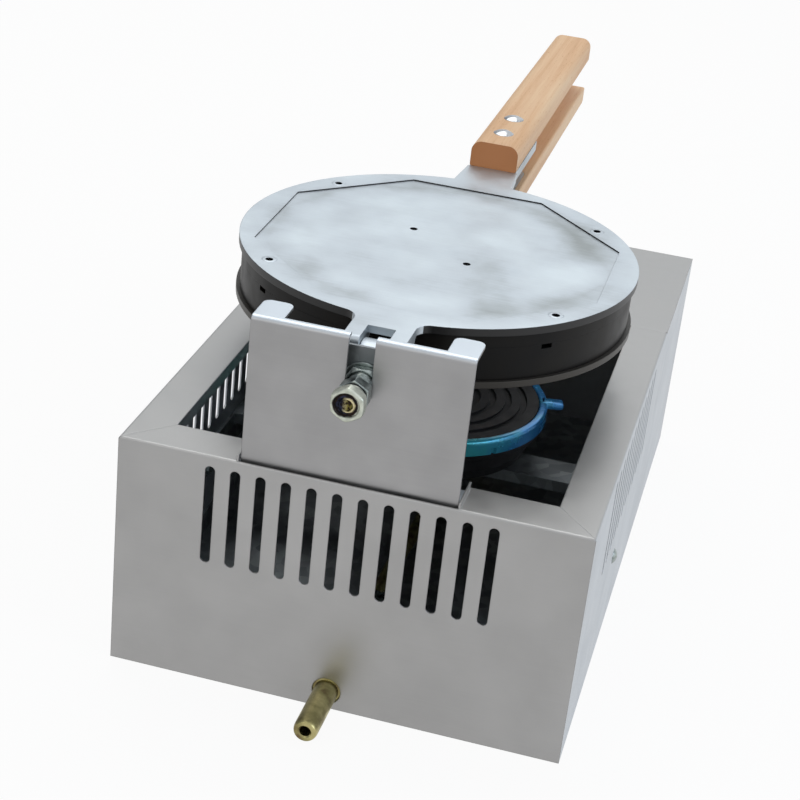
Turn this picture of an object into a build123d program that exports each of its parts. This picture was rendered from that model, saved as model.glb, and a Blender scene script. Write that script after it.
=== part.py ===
from build123d import *
import os
from math import hypot, sqrt

# Gas egg waffle pan: a hinged two-half pan with egg cups, carried by a shaft in the slot of a
# bracket over a sheet-metal gas stove. Millimetres. Origin on the floor at the centre of the
# casing; -Y is the operator's side (knob and handles), +Y the gas inlet side, +Z up.

os.makedirs("parts", exist_ok=True)

# casing
casing_width = 230.0
casing_depth = 368.0
casing_height = 125.0
sheet = 1.0
side_rim = 21.0
rear_rim = 23.0
cover_depth = 121.0
rim_lip = 7.0
cover_flange = 12.0
base_flange = 14.0
fold_radius = 1.2

# ventilation slots
slot_count = 12
slot_width = 5.0
slot_pitch = 12.5
slot_low = 66.8
slot_length = 52.7
side_slot_y = 46.2

# pan bracket on the rear rim
pan_x = 2.5
bracket_width = 105.0
bracket_rise = 74.0
bracket_sheet = 1.5
bracket_inset = 2.9
bracket_foot = 124.0
bracket_foot_depth = 18.0
shaft_slot_depth = 25.6
shaft_slot_clearance = 0.25
ear_width = 14.5
ear_depth = 21.0
ear_corner = 4.0
top_flange_depth = 4.5
bracket_bend = 3.0
notch_clearance = 0.5
notch_lip = 3.0

# shaft stack, listed from the outside inwards along the shaft
shaft_radius = 6.0
shaft_tip_sunk = 3.0
end_nut_flats = 16.0
end_nut_length = 10.7
end_nut_dish = 1.6
front_nut_flats = 18.5
front_nut_length = 6.5
pivot_washer_radius = 9.0
pivot_washer_thickness = 1.0
washer_gap = 0.1
back_nut_gap = 0.3
back_nut_flats = 18.5
back_nut_length = 4.0
shaft_washer_radius = 9.5
shaft_washer_thickness = 1.0
hinge_plate_thickness = 1.5
hinge_plate_width = 30.0
hinge_plate_rise = 16.8
hinge_plate_drop = 15.7
spigot_radius = 4.0
spigot_length = 11.3

# hinge between the pan halves
pin_radius = 3.5
pin_setback = 16.8
pin_overhang = 2.0
hinge_offset = 19.0
knuckle_width = 13.0
knuckle_radius = 12.0
knuckle_rear_rise = 4.0
ear_gap = 0.3
fork_width = 30.0
fork_notch_offset = 10.4
fork_boss_radius = 7.5
fork_corner = 3.0
fork_root = 8.0
running_fit = 0.05

# pan
pan_half_height = 15.7
upper_plate = 4.0
lower_plate = 3.4
mould_radius = 101.6
plate_overhang = 2.0
seam_rise = 4.8
web_gap = 1.6
mould_rim = 4.2
spigot_clearance = 2.0
spigot_taper = 1.2
cup_pitch = 28.0
cup_radius = 11.5
cup_depth = 9.4
cup_margin = 7.0
vent_width = 6.0
vent_depth = 2.4
vent_count = 4
octagon_inset = 7.5
octagon_depth = 0.8
rim_screw_inset = 8.6
rim_screw_angle = 50.0
screw_radius = 2.0
screw_head_radius = 3.8
screw_head_height = 1.8
screw_length = 8.5
centre_hole_reach = 25.0
centre_hole_angle = 137.0
centre_hole_depth = 3.0

# tangs and handles
tang_root_width = 33.0
tang_neck_width = 29.0
tang_thickness = 5.6
tang_length = 64.0
lower_tang_width = 20.0
lower_tang_top = -3.4
joggle_length = 16.0
handle_offset = 25.8
handle_length = 258.0
handle_width = 27.5
handle_end_width = 26.0
handle_height = 15.2
handle_round = 6.0
handle_edge = 1.2
handle_end_round = 2.5
bolt_first = 22.0
bolt_spacing = 30.0
bolt_radius = 3.0
bolt_head_radius = 6.0
bolt_head_height = 2.0
bolt_nut_flats = 10.0
bolt_nut_height = 3.5
hole_clearance = 0.1

# burner
support_height = 57.5
support_sheet = 1.5
support_width = 24.0
support_lip = 5.0
tab_reach = 66.0
tab_drop = 19.0
side_screw_y = 58.8
side_screw_z = 46.0
side_screw_radius = 2.0
side_screw_head = 4.2
side_screw_dome = 2.0
side_nut_flats = 7.0
side_nut_height = 3.0
bowl_height = 25.1
bowl_foot_radius = 30.0
bowl_shoulder_radius = 54.0
bowl_flange_radius = 60.5
bowl_flange = 2.6
bowl_wall = 3.0
ring_radius = 61.4
ring_wall = 4.7
ring_height = 9.0
ring_slots = 24
ring_slot_width = 2.4
ring_slot_depth = 2.0
ring_lug_length = 9.0
ring_lug_width = 8.0
ring_lug_height = 4.0
ring_lug_angle = 194.0
cap_gap = 0.3
cap_rise = 8.2
cap_thickness = 4.6
cap_skirt = 4.0
cap_grooves = 5
cap_groove_first = 12.0
cap_groove_pitch = 8.6
cap_groove_width = 3.4
cap_groove_depth = 1.6
burner_bolt_radius = 3.0
burner_bolt_head_flats = 10.0
burner_bolt_head = 4.0

# gas line, from the burner to the knob and the hose nozzle
burner_axis_rise = 11.5
tube_radius = 10.0
tube_wall = 1.5
socket_wall = 2.5
socket_length = 16.0
tube_length = 78.0
mouth_radius = 17.0
mouth_thickness = 2.0
air_port_radius = 3.8
air_port_reach = 10.6
air_port_count = 3
shutter_thickness = 1.2
shutter_gap = 0.3
shutter_tab = 7.0
shutter_tab_width = 6.0
injector_radius = 5.0
injector_inside = 8.0
injector_flats = 13.0
injector_hex = 6.0
jet_radius = 1.0
valve_radius = 12.0
valve_flange_width = 60.0
valve_flange_height = 20.0
valve_flange = 3.0
valve_length = 37.0
valve_inlet_y = -163.0
valve_inlet_radius = 7.0
valve_inlet_drop = 22.0
valve_end_wall = 4.0
plug_radius = 6.0
plug_end_wall = 2.0
stem_radius = 3.0
stem_inside = 24.0
stem_panel_radius = 5.0
valve_screw_reach = 24.0
valve_screw_head = 3.6
valve_screw_head_height = 2.2
knob_travel = 4.0
knob_gap = 1.0
knob_radius = 20.0
knob_skirt = 6.0
knob_grip_width = 11.0
knob_grip_depth = 13.0
knob_edge = 1.5
knob_pointer_width = 1.6
knob_pointer_depth = 0.8
inlet_height = 9.7
inlet_hole_radius = 7.25
pipe_radius = 4.0
pipe_bend = 16.0
pipe_jog_start = 60.0
pipe_jog_end = 10.0
pipe_jog_bend = 60.0
pipe_nut_flats = 13.0
pipe_nut_length = 8.0
nozzle_radius = 6.0
nozzle_tip_radius = 5.0
nozzle_tip_length = 5.0
nozzle_reach = 35.5
nozzle_bore = 2.75
nozzle_hex_flats = 17.0
nozzle_hex_length = 7.0
saddle_length = 10.0
saddle_width = 16.0
saddle_cover = 2.0
saddle_places = (100.0, -90.0)

# levels and stations worked out from the sizes above
half_width = casing_width / 2
inner_x = half_width - sheet
rear_y = casing_depth / 2
front_y = -rear_y
top_z = casing_height
under_rim_z = top_z - sheet
opening_x = half_width - side_rim
opening_y = rear_y - rear_rim
joint_y = front_y + cover_depth

bracket_top = top_z + bracket_rise
bracket_y = rear_y - bracket_inset
bracket_back = bracket_y - bracket_sheet
shaft_z = bracket_top - shaft_slot_depth
washer_y = (bracket_y + washer_gap, bracket_y + washer_gap + pivot_washer_thickness)
front_nut_y = (washer_y[1] + washer_gap, washer_y[1] + washer_gap + front_nut_length)
end_nut_y = (front_nut_y[1], front_nut_y[1] + end_nut_length)
flange_inner_y = bracket_y - top_flange_depth
back_nut_y = (flange_inner_y - back_nut_gap - back_nut_length, flange_inner_y - back_nut_gap)
shaft_washer_y = (back_nut_y[0] - shaft_washer_thickness, back_nut_y[0])
hinge_plate_y = (shaft_washer_y[0] - hinge_plate_thickness, shaft_washer_y[0])
knuckle_rear = hinge_plate_y[0]
pin_y = knuckle_rear - pin_setback

pan_radius = mould_radius + plate_overhang
hinge_reach = pan_radius + hinge_offset
fork_notch_start = pan_radius + fork_notch_offset
octagon_radius = pan_radius - octagon_inset
rim_screw_reach = pan_radius - rim_screw_inset
handle_start = pan_radius + handle_offset
pan_y = pin_y - hinge_reach

pan_top = shaft_z + pan_half_height
pan_bottom = shaft_z - pan_half_height
upper_plate_z = (pan_top - upper_plate, pan_top)
lower_plate_z = (pan_bottom, pan_bottom + lower_plate)
seam_z = shaft_z + seam_rise
lower_face_z = shaft_z - web_gap / 2
upper_face_z = shaft_z + web_gap / 2
cup_ball = (cup_radius ** 2 + cup_depth ** 2) / (2 * cup_depth)
cup_field = mould_radius - mould_rim - cup_radius - cup_margin
fork_reach = hinge_reach + fork_boss_radius

tang_start = mould_radius + 0.4
tang_bottom = pan_top - tang_thickness
lower_tang_z = (shaft_z + lower_tang_top - tang_thickness, shaft_z + lower_tang_top)
handle_y = pan_y - handle_start
handle_end_y = handle_y - handle_length
tang_end_y = handle_y - tang_length
bolt_places = (handle_y - bolt_first, handle_y - bolt_first - bolt_spacing)

bowl_top = support_height + bowl_height
burner_axis_z = support_height + burner_axis_rise
tube_end_y = -(bowl_flange_radius - socket_length / 2 + tube_length)
shutter_y = (tube_end_y - shutter_gap - shutter_thickness, tube_end_y - shutter_gap)
valve_y = (front_y + sheet, front_y + sheet + valve_length)
plug_y = (valve_y[0] + valve_flange, valve_y[1] - valve_end_wall)
knob_back = front_y - knob_travel - knob_gap
knob_front = knob_back - knob_skirt - knob_grip_depth
valve_inlet_z = burner_axis_z - valve_inlet_drop


def span(middle, width):
    return (middle - width / 2, middle + width / 2)


def block(x, y, z):
    # a box between two ends on each axis
    box = Box(x[1] - x[0], y[1] - y[0], z[1] - z[0])
    return Pos(sum(x) / 2, sum(y) / 2, sum(z) / 2) * box


def rod(x, y, z, radius):
    # a round bar along Y
    return Pos(x, sum(y) / 2, z) * Rot(90, 0, 0) * Cylinder(radius, y[1] - y[0])


def post(x, y, z, radius):
    # a round bar along Z
    return Pos(x, y, sum(z) / 2) * Cylinder(radius, z[1] - z[0])


def cross_bar(x, y, z, radius):
    # a round bar along X
    return Pos(sum(x) / 2, y, z) * Rot(0, 90, 0) * Cylinder(radius, x[1] - x[0])


def facing_front(x, y, z):
    # sketch plane with X to the right and Z up, extruding towards -Y
    return Plane((x, y, z), x_dir=(1, 0, 0), z_dir=(0, -1, 0))


def side_view(x):
    # sketch plane in (Y, Z), extruding towards +X
    return Plane((x, 0, 0), x_dir=(0, 1, 0), z_dir=(1, 0, 0))


def outline(*points):
    return make_face(Polyline(*points, close=True))


def hexagon(flats, turn=0):
    # flats on top at turn 0, a corner on top at turn 30
    return RegularPolygon(flats / 2, 6, major_radius=False, rotation=turn)


def hex_bar(x, y, z, flats, turn=0):
    # a hexagonal bar along Y
    return extrude(facing_front(x, y[1], z) * hexagon(flats, turn), y[1] - y[0])


def turned(*profile):
    # a solid of revolution about Z from (radius, z) points
    return revolve(Plane.XZ * outline(*profile), Axis.Z)


def dome(radius, height):
    # a spherical cap standing on Z = 0
    ball = (radius ** 2 + height ** 2) / (2 * height)
    slab = Pos(0, 0, height / 2) * Box(2 * ball, 2 * ball, height)
    return Pos(0, 0, height - ball) * Sphere(ball) & slab


def both_sides(shape):
    return shape + mirror(shape, about=Plane.YZ)


# casing

def vent_slot(length):
    return SlotOverall(length, slot_width, rotation=90)


def fold_waste(corner, length):
    # the sliver outside a rounded fold; the sketch plane's origin lies on the square corner
    square = Rectangle(fold_radius, fold_radius, align=(Align.MAX, Align.MAX))
    sliver = square - Pos(-fold_radius, -fold_radius) * Circle(fold_radius)
    return extrude(corner * sliver, length)


def vent_offsets():
    return [(index - (slot_count - 1) / 2) * slot_pitch for index in range(slot_count)]


def rear_panel():
    wall = block((-half_width, half_width), (rear_y - sheet, rear_y), (0, under_rim_z))
    rim = outline((-half_width, rear_y), (half_width, rear_y),
                  (opening_x, opening_y), (-opening_x, opening_y))
    rim = extrude(Pos(0, 0, under_rim_z) * rim, sheet)
    lip = block((-opening_x, opening_x), (opening_y, opening_y + sheet), (top_z - rim_lip, under_rim_z))
    panel = wall + rim + lip
    panel -= fold_waste(side_view(-half_width) * Pos(rear_y, top_z), casing_width)
    notch_half = bracket_width / 2 + notch_clearance
    notch_y = (opening_y - sheet, rear_y - sheet)
    notch_x = span(pan_x, 2 * notch_half)
    panel -= block(notch_x, notch_y, (top_z - rim_lip - sheet, top_z + sheet))
    for side in (-1, 1):
        middle = pan_x + side * (notch_half + sheet / 2)
        panel += block(span(middle, sheet), (opening_y, rear_y - sheet), (under_rim_z, top_z + notch_lip))
    slot_z = slot_low + slot_length / 2
    for offset in vent_offsets():
        panel -= extrude(facing_front(offset, rear_y, slot_z) * vent_slot(slot_length), sheet)
    panel -= rod(pan_x, (rear_y - sheet, rear_y), inlet_height, inlet_hole_radius)
    return panel


def side_panel():
    # the +X side; the other side is its mirror image
    wall = block((inner_x, half_width), (front_y + sheet, rear_y - sheet), (0, under_rim_z))
    rim = outline((opening_x, joint_y), (half_width, joint_y), (half_width, rear_y),
                  (opening_x, opening_y))
    rim = extrude(Pos(0, 0, under_rim_z) * rim, sheet)
    lip = block((opening_x, opening_x + sheet), (joint_y, opening_y), (top_z - rim_lip, under_rim_z))
    panel = wall + rim + lip
    panel -= fold_waste(facing_front(half_width, rear_y, top_z), rear_y - joint_y)
    slot_z = slot_low + slot_length / 2
    for offset in vent_offsets():
        place = Plane((inner_x, side_slot_y + offset, slot_z), x_dir=(0, 1, 0), z_dir=(1, 0, 0))
        panel -= extrude(place * vent_slot(slot_length), sheet)
    hole_radius = side_screw_radius + hole_clearance
    return panel - cross_bar((inner_x, half_width), side_screw_y, side_screw_z, hole_radius)


def front_panel():
    panel = block((-half_width, half_width), (front_y, front_y + sheet), (0, under_rim_z))
    panel -= rod(0, (front_y, front_y + sheet), burner_axis_z, stem_panel_radius)
    for side in (-1, 1):
        x = side * valve_screw_reach
        panel -= rod(x, (front_y, front_y + sheet), burner_axis_z, screw_radius + hole_clearance)
    return panel


def front_cover():
    # the top plate between the pan opening and the operator, flanged down inside the walls
    plate = block((-half_width, half_width), (front_y, joint_y), (under_rim_z, top_z))
    flange_z = (top_z - cover_flange, under_rim_z)
    flange_y = (front_y + sheet, joint_y)
    cover = plate + both_sides(block((inner_x - sheet, inner_x), flange_y, flange_z))
    cover += block((-inner_x, inner_x), (front_y + sheet, front_y + 2 * sheet), flange_z)
    lip_z = (top_z - rim_lip, under_rim_z)
    return cover + block((-inner_x + sheet, inner_x - sheet), (joint_y - sheet, joint_y), lip_z)


def base_plate():
    inner_y = rear_y - sheet
    tray = block((-inner_x, inner_x), (-inner_y, inner_y), (0, sheet))
    return tray + both_sides(block((inner_x - sheet, inner_x), (-inner_y, inner_y), (0, base_flange)))


# pan bracket

def long_edge(shape, y, z):
    # the edge across the bracket at the given station and level
    edges = shape.edges().filter_by(Axis.X)
    return [edge for edge in edges if hypot(edge.center().Y - y, edge.center().Z - z) < 0.01]


def pan_bracket():
    plate = block(span(pan_x, bracket_width), (bracket_back, bracket_y), (under_rim_z, bracket_top))
    foot_z = (under_rim_z - bracket_sheet, under_rim_z)
    foot = block(span(pan_x, bracket_foot), (bracket_y - bracket_foot_depth, bracket_y), foot_z)
    flange_z = bracket_top - bracket_sheet
    flange = outline(*[(pan_x + x, bracket_y - y) for x, y in bracket_flange_points()])
    flange = extrude(Pos(0, 0, flange_z) * flange, bracket_sheet)
    bracket = plate + foot + flange
    corners = bracket.edges().filter_by(Axis.Z).filter_by_position(Axis.Z, flange_z, bracket_top)
    inner = [edge for edge in corners if edge.center().Y < bracket_y - ear_depth + ear_corner]
    bracket = fillet(inner, min(ear_corner, ear_width / 2.5))
    bracket = fillet(long_edge(bracket, bracket_y, bracket_top), bracket_bend)
    bracket = fillet(long_edge(bracket, bracket_back, flange_z), bracket_bend - bracket_sheet)
    slot_half = shaft_radius + shaft_slot_clearance
    slot_y = (bracket_y - ear_depth, bracket_y + sheet)
    bracket -= rod(pan_x, slot_y, shaft_z, slot_half)
    return bracket - block(span(pan_x, 2 * slot_half), slot_y, (shaft_z, bracket_top + sheet))


def bracket_flange_points():
    # top flange seen from above: two long ears with a shallow strip between them
    half = bracket_width / 2
    inside = half - ear_width
    return [(-half, 0), (half, 0), (half, ear_depth), (inside, ear_depth),
            (inside, top_flange_depth), (-inside, top_flange_depth),
            (-inside, ear_depth), (-half, ear_depth)]


# shaft stack

def nut(y, flats, turn, bore):
    return hex_bar(pan_x, y, shaft_z, flats, turn) - rod(pan_x, y, shaft_z, bore)


def end_nut():
    body = hex_bar(pan_x, end_nut_y, shaft_z, end_nut_flats, 30)
    bore_y = (end_nut_y[0], end_nut_y[1] - shaft_tip_sunk)
    body -= rod(pan_x, bore_y, shaft_z, shaft_radius + running_fit)
    dish = Cone(shaft_radius - end_nut_dish, shaft_radius, end_nut_dish)
    return body - Pos(pan_x, end_nut_y[1] - end_nut_dish / 2, shaft_z) * Rot(-90, 0, 0) * dish


def ring_washer(y, radius):
    return rod(pan_x, y, shaft_z, radius) - rod(pan_x, y, shaft_z, shaft_radius + running_fit)


def hinge_back_plate():
    z = (shaft_z - hinge_plate_drop, shaft_z + hinge_plate_rise)
    plate = block(span(pan_x, hinge_plate_width), hinge_plate_y, z)
    plate = fillet(plate.edges().filter_by(Axis.Y), hinge_plate_thickness)
    return plate - rod(pan_x, hinge_plate_y, shaft_z, spigot_radius + running_fit)


def pivot_shaft():
    body = rod(pan_x, (hinge_plate_y[1], end_nut_y[1] - shaft_tip_sunk), shaft_z, shaft_radius)
    return body + rod(pan_x, (knuckle_rear - spigot_length, hinge_plate_y[1]), shaft_z, spigot_radius)


# pan halves

def pan_place(x, y):
    return (pan_x + x, pan_y + y)


def octagon_recess(z):
    face = Pos(pan_x, pan_y, z) * RegularPolygon(octagon_radius, 8, rotation=22.5)
    return extrude(face, octagon_depth)


def rim_screw_places():
    reach = Vector(0, rim_screw_reach)
    angles = (rim_screw_angle, 180 - rim_screw_angle, 180 + rim_screw_angle, -rim_screw_angle)
    turned_to = [reach.rotate(Axis.Z, angle) for angle in angles]
    return [pan_place(place.X, place.Y) for place in turned_to]


def centre_holes(z):
    reach = Vector(centre_hole_reach, 0)
    places = [reach.rotate(Axis.Z, centre_hole_angle + turn) for turn in (0, 180)]
    holes = [post(pan_x + place.X, pan_y + place.Y, z, screw_radius) for place in places]
    return holes[0] + holes[1]


def plate_outline():
    # disc with the hinge fork's neck, rounded into it at both roots
    neck = Pos(0, fork_reach / 2) * Rectangle(fork_width, fork_reach)
    shape = Circle(pan_radius) + neck
    corner_y = sqrt(pan_radius ** 2 - (fork_width / 2) ** 2)
    roots = [v for v in shape.vertices() if abs(v.Y - corner_y) < 0.01]
    return Pos(pan_x, pan_y) * fillet(roots, fork_root)


def fork_ears():
    y_end = pan_y + fork_reach
    web_y = pin_y - pan_half_height
    profile = outline((pin_y - fork_boss_radius, shaft_z), (y_end, shaft_z), (y_end, pan_top),
                      (web_y, pan_top), (web_y, upper_plate_z[0]))
    profile += Pos(pin_y, shaft_z) * Circle(fork_boss_radius)
    corner = [v for v in profile.vertices() if abs(v.X - y_end) + abs(v.Y - pan_top) < 0.01]
    profile = fillet(corner, fork_corner)
    ears = extrude(side_view(pan_x - fork_width / 2) * profile, fork_width)
    gap = span(pan_x, knuckle_width + 2 * ear_gap)
    ears -= block(gap, (pan_y + fork_notch_start, y_end), (pan_bottom, pan_top))
    return ears - block(gap, (pan_y + mould_radius, y_end), (pan_bottom, upper_plate_z[0]))


def upper_tang():
    root = tang_root_width / 2
    neck = tang_neck_width / 2
    half = handle_width / 2
    points = [(root, -tang_start), (neck, -handle_start), (half, -handle_start),
              (half, -handle_start - tang_length)]
    shape = both_sides_outline(points)
    return extrude(Pos(0, 0, tang_bottom) * shape, tang_thickness)


def both_sides_outline(points):
    # closes a half outline, listed from the disc outwards, with its mirror image
    right = [pan_place(x, y) for x, y in points]
    left = [pan_place(-x, y) for x, y in reversed(points)]
    return outline(*right, *left)


def upper_back_plate():
    plate = extrude(Pos(0, 0, upper_plate_z[0]) * plate_outline(), upper_plate)
    notch = span(pan_x, knuckle_width + 2 * ear_gap)
    plate -= block(notch, (pan_y + fork_notch_start, pan_y + fork_reach), upper_plate_z)
    top_ears = block(span(pan_x, fork_width), (pin_y, pan_y + fork_reach), upper_plate_z)
    plate = plate - top_ears + fork_ears() + upper_tang()
    plate -= octagon_recess(pan_top - octagon_depth)
    plate -= cross_bar(span(pan_x, fork_width), pin_y, shaft_z, pin_radius + running_fit)
    for x, y in rim_screw_places():
        plate -= screw_hole(x, y, pan_top, upper_plate)
    plate -= centre_holes((pan_top - centre_hole_depth, pan_top))
    for place in bolt_places:
        plate -= post(pan_x, place, (tang_bottom, pan_top), bolt_radius + hole_clearance)
    return plate


def screw_hole(x, y, z, depth):
    # countersunk from above
    head = Cone(screw_radius, screw_head_radius + hole_clearance, screw_head_height)
    hole = post(x, y, (z - depth, z), screw_radius + hole_clearance)
    return hole + Pos(x, y, z - screw_head_height / 2) * head


def plate_screw(x, y, z):
    head = Cone(screw_radius, screw_head_radius, screw_head_height)
    screw = Pos(x, y, z - screw_head_height / 2) * head
    screw += post(x, y, (z - screw_length, z - screw_head_height), screw_radius)
    slot_y = span(y, 2 * screw_head_radius)
    return screw - block(span(x, screw_radius / 2), slot_y, (z - screw_head_height / 2, z))


def upper_screws():
    return [plate_screw(x, y, pan_top) for x, y in rim_screw_places()]


def turned_over(shape):
    # the same piece on the underside of the pan
    return mirror(shape, about=Plane((0, 0, shaft_z)))


def lower_screws():
    return [turned_over(screw) for screw in upper_screws()]


def cup_places():
    # hexagonal grid of cup centres that keeps clear of the mould's rim
    row_pitch = cup_pitch * sqrt(3) / 2
    rows = int(cup_field / row_pitch) + 1
    columns = 2 * rows
    places = []
    for row in range(-rows, rows + 1):
        for column in range(-columns, columns + 1):
            x = (column + row / 2) * cup_pitch
            y = row * row_pitch
            if hypot(x, y) <= cup_field:
                places.append(pan_place(x, y))
    return places


def cup_balls(face_z, side):
    # side is +1 where the cups sink upwards and -1 where they sink downwards
    middle = face_z - side * (cup_ball - cup_depth)
    return [Pos(x, y, middle) * Sphere(cup_ball) for x, y in cup_places()]


def round_about_pan(*profile):
    return Pos(pan_x, pan_y, 0) * turned(*profile)


def mould_screw_holes(z):
    holes = [post(x, y, z, screw_radius + hole_clearance) for x, y in rim_screw_places()]
    return holes[0] + holes[1:]


def lower_mould():
    bottom = lower_plate_z[1]
    inside = mould_radius - mould_rim
    mould = round_about_pan((0, bottom), (mould_radius, bottom), (mould_radius, seam_z),
                            (inside, seam_z), (inside - spigot_taper, lower_face_z), (0, lower_face_z))
    mould -= cup_balls(lower_face_z, -1)
    vent = block((inside - sheet, pan_radius), span(0, vent_width), (seam_z - vent_depth, seam_z))
    for index in range(vent_count):
        angle = (index + 0.5) * 360 / vent_count
        mould -= Pos(pan_x, pan_y, 0) * Rot(0, 0, angle) * vent
    return mould - mould_screw_holes((bottom, pan_bottom + screw_length))


def upper_mould():
    top = upper_plate_z[0]
    spigot = mould_radius - mould_rim - spigot_clearance
    mould = round_about_pan((0, upper_face_z), (spigot - 2 * spigot_taper, upper_face_z),
                            (spigot, seam_z), (mould_radius, seam_z), (mould_radius, top), (0, top))
    mould -= cup_balls(upper_face_z, 1)
    return mould - mould_screw_holes((pan_top - screw_length, top))


def knuckle():
    # lug that carries the hinge pin and takes the shaft's threaded end
    foot_y = pan_y + mould_radius + sheet
    profile = outline((foot_y, pan_bottom), (knuckle_rear, pan_bottom),
                      (knuckle_rear, shaft_z + knuckle_rear_rise), (pin_y, shaft_z + knuckle_rear_rise),
                      (pin_y - knuckle_radius, shaft_z), (foot_y, lower_plate_z[1]))
    profile += Pos(pin_y, shaft_z) * Circle(knuckle_radius)
    lug = extrude(side_view(pan_x - knuckle_width / 2) * profile, knuckle_width)
    lug -= cross_bar(span(pan_x, knuckle_width), pin_y, shaft_z, pin_radius + running_fit)
    bore_y = (knuckle_rear - spigot_length, knuckle_rear)
    return lug - rod(pan_x, bore_y, shaft_z, spigot_radius + running_fit)


def lower_tang():
    # steps up from the back plate so that both handles fit in one hand
    low, high = lower_tang_z
    start = pan_y - tang_start - sheet
    root = start + 3 * tang_thickness
    bend = start - joggle_length
    profile = outline((root, pan_bottom), (root, lower_plate_z[1]), (start, lower_plate_z[1]),
                      (bend, high), (tang_end_y, high), (tang_end_y, low), (bend, low),
                      (start - tang_thickness, pan_bottom))
    width = tang_neck_width
    bar = extrude(side_view(pan_x - width / 2) * profile, width)
    blade = lower_tang_blade(0)
    blade += block(span(pan_x, width), (handle_y + tang_thickness, root), (pan_bottom, high))
    return bar & blade


def lower_tang_blade(clearance):
    # plan of the let-in tang with its round end, as a tall prism
    half = lower_tang_width / 2 + clearance
    middle = tang_end_y + lower_tang_width / 2
    z = (pan_bottom, pan_top)
    blade = block(span(pan_x, 2 * half), (middle, handle_y + 2 * tang_thickness), z)
    return blade + post(pan_x, middle, z, half)


def lower_back_plate():
    disc = post(pan_x, pan_y, lower_plate_z, pan_radius)
    neck_y = (pan_y + pan_radius - 3 * sheet, pan_y + mould_radius + 2 * sheet)
    plate = disc + block(span(pan_x, knuckle_width), neck_y, lower_plate_z) + knuckle() + lower_tang()
    plate -= octagon_recess(pan_bottom)
    for x, y in rim_screw_places():
        plate -= turned_over(screw_hole(x, y, pan_top, lower_plate))
    plate -= centre_holes((pan_bottom, pan_bottom + lower_plate - octagon_depth))
    for place in bolt_places:
        plate -= post(pan_x, place, lower_tang_z, bolt_radius + hole_clearance)
    return plate


def hinge_pin():
    pin = cross_bar(span(pan_x, fork_width + 2 * pin_overhang), pin_y, shaft_z, pin_radius)
    return chamfer(pin.edges().filter_by(GeomType.CIRCLE), pin_overhang / 4)


# handles

def handle_section(width):
    # flat where it meets the tang, well rounded on the outside
    shape = Pos(0, handle_height / 2) * Rectangle(width, handle_height)
    shape = fillet(shape.vertices().group_by(Axis.Y)[-1], handle_round)
    return fillet(shape.vertices().group_by(Axis.Y)[0], handle_edge)


def handle_bar():
    # lies on Z = 0 along -Y from its near end
    near = facing_front(pan_x, handle_y, 0) * handle_section(handle_width)
    far = facing_front(pan_x, handle_end_y, 0) * handle_section(handle_end_width)
    bar = loft([near, far])
    end = bar.edges().filter_by_position(Axis.Y, handle_end_y - 0.01, handle_end_y + 0.01)
    bar = fillet(end, min(handle_end_round, handle_edge * 0.9))
    for place in bolt_places:
        bar -= post(pan_x, place, (0, handle_height), bolt_radius + hole_clearance)
    return bar


def upper_handle():
    return Pos(0, 0, pan_top) * handle_bar()


def lower_handle():
    bar = Pos(0, 0, lower_tang_z[1]) * mirror(handle_bar(), about=Plane.XY)
    return bar - (lower_tang_blade(hole_clearance) & block(
        span(pan_x, handle_width), (tang_end_y - tang_thickness, handle_y), lower_tang_z))


def handle_bolt(place, head_z, length):
    # dome-headed bolt; its shank runs down from the head
    bolt = post(pan_x, place, (head_z - length, head_z), bolt_radius)
    return bolt + Pos(pan_x, place, head_z) * dome(bolt_head_radius, bolt_head_height)


def bolt_nut(place, z):
    body = extrude(Pos(pan_x, place, z) * hexagon(bolt_nut_flats), bolt_nut_height)
    return body - post(pan_x, place, (z, z + bolt_nut_height), bolt_radius + running_fit)


def upper_handle_bolts():
    length = handle_height + tang_thickness + bolt_nut_height
    return [handle_bolt(place, pan_top + handle_height, length) for place in bolt_places]


def upper_handle_nuts():
    return [bolt_nut(place, tang_bottom - bolt_nut_height) for place in bolt_places]


def lower_handle_bolts():
    # heads under the wood, shanks up through the let-in tang
    head_z = handle_height - lower_tang_z[1]
    length = handle_height + bolt_nut_height
    bolts = [handle_bolt(place, head_z, length) for place in bolt_places]
    return [mirror(bolt, about=Plane.XY) for bolt in bolts]


def lower_handle_nuts():
    return [bolt_nut(place, lower_tang_z[1]) for place in bolt_places]


# burner

def burner_support():
    # strip across the casing with an L-shaped tab at each end for the side screws
    tab_x = inner_x - support_sheet
    strip_z = (support_height - support_sheet, support_height)
    strip = block((-tab_x, tab_x), span(0, support_width), strip_z)
    lip_y = (support_width / 2 - support_sheet, support_width / 2)
    strip += block((-tab_x, tab_x), lip_y, (strip_z[0] - support_lip, strip_z[0]))
    tab_z = (support_height - tab_drop, support_height)
    tab = block((tab_x, inner_x), (-support_width / 2, tab_reach), tab_z)
    tab -= cross_bar((tab_x, inner_x), side_screw_y, side_screw_z, side_screw_radius + hole_clearance)
    support = strip + both_sides(tab)
    return support - post(0, 0, strip_z, burner_bolt_radius + hole_clearance)


def side_screw():
    shank_x = (inner_x - support_sheet - side_nut_height, half_width)
    screw = cross_bar(shank_x, side_screw_y, side_screw_z, side_screw_radius)
    head = Rot(0, 90, 0) * dome(side_screw_head, side_screw_dome)
    return screw + Pos(half_width, side_screw_y, side_screw_z) * head


def side_nut():
    x = inner_x - support_sheet - side_nut_height
    place = Plane((x, side_screw_y, side_screw_z), x_dir=(0, 1, 0), z_dir=(1, 0, 0))
    body = extrude(place * hexagon(side_nut_flats), side_nut_height)
    bore = cross_bar((x, inner_x), side_screw_y, side_screw_z, side_screw_radius + running_fit)
    return body - bore


def pair(shape):
    return [shape, mirror(shape, about=Plane.YZ)]


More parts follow.
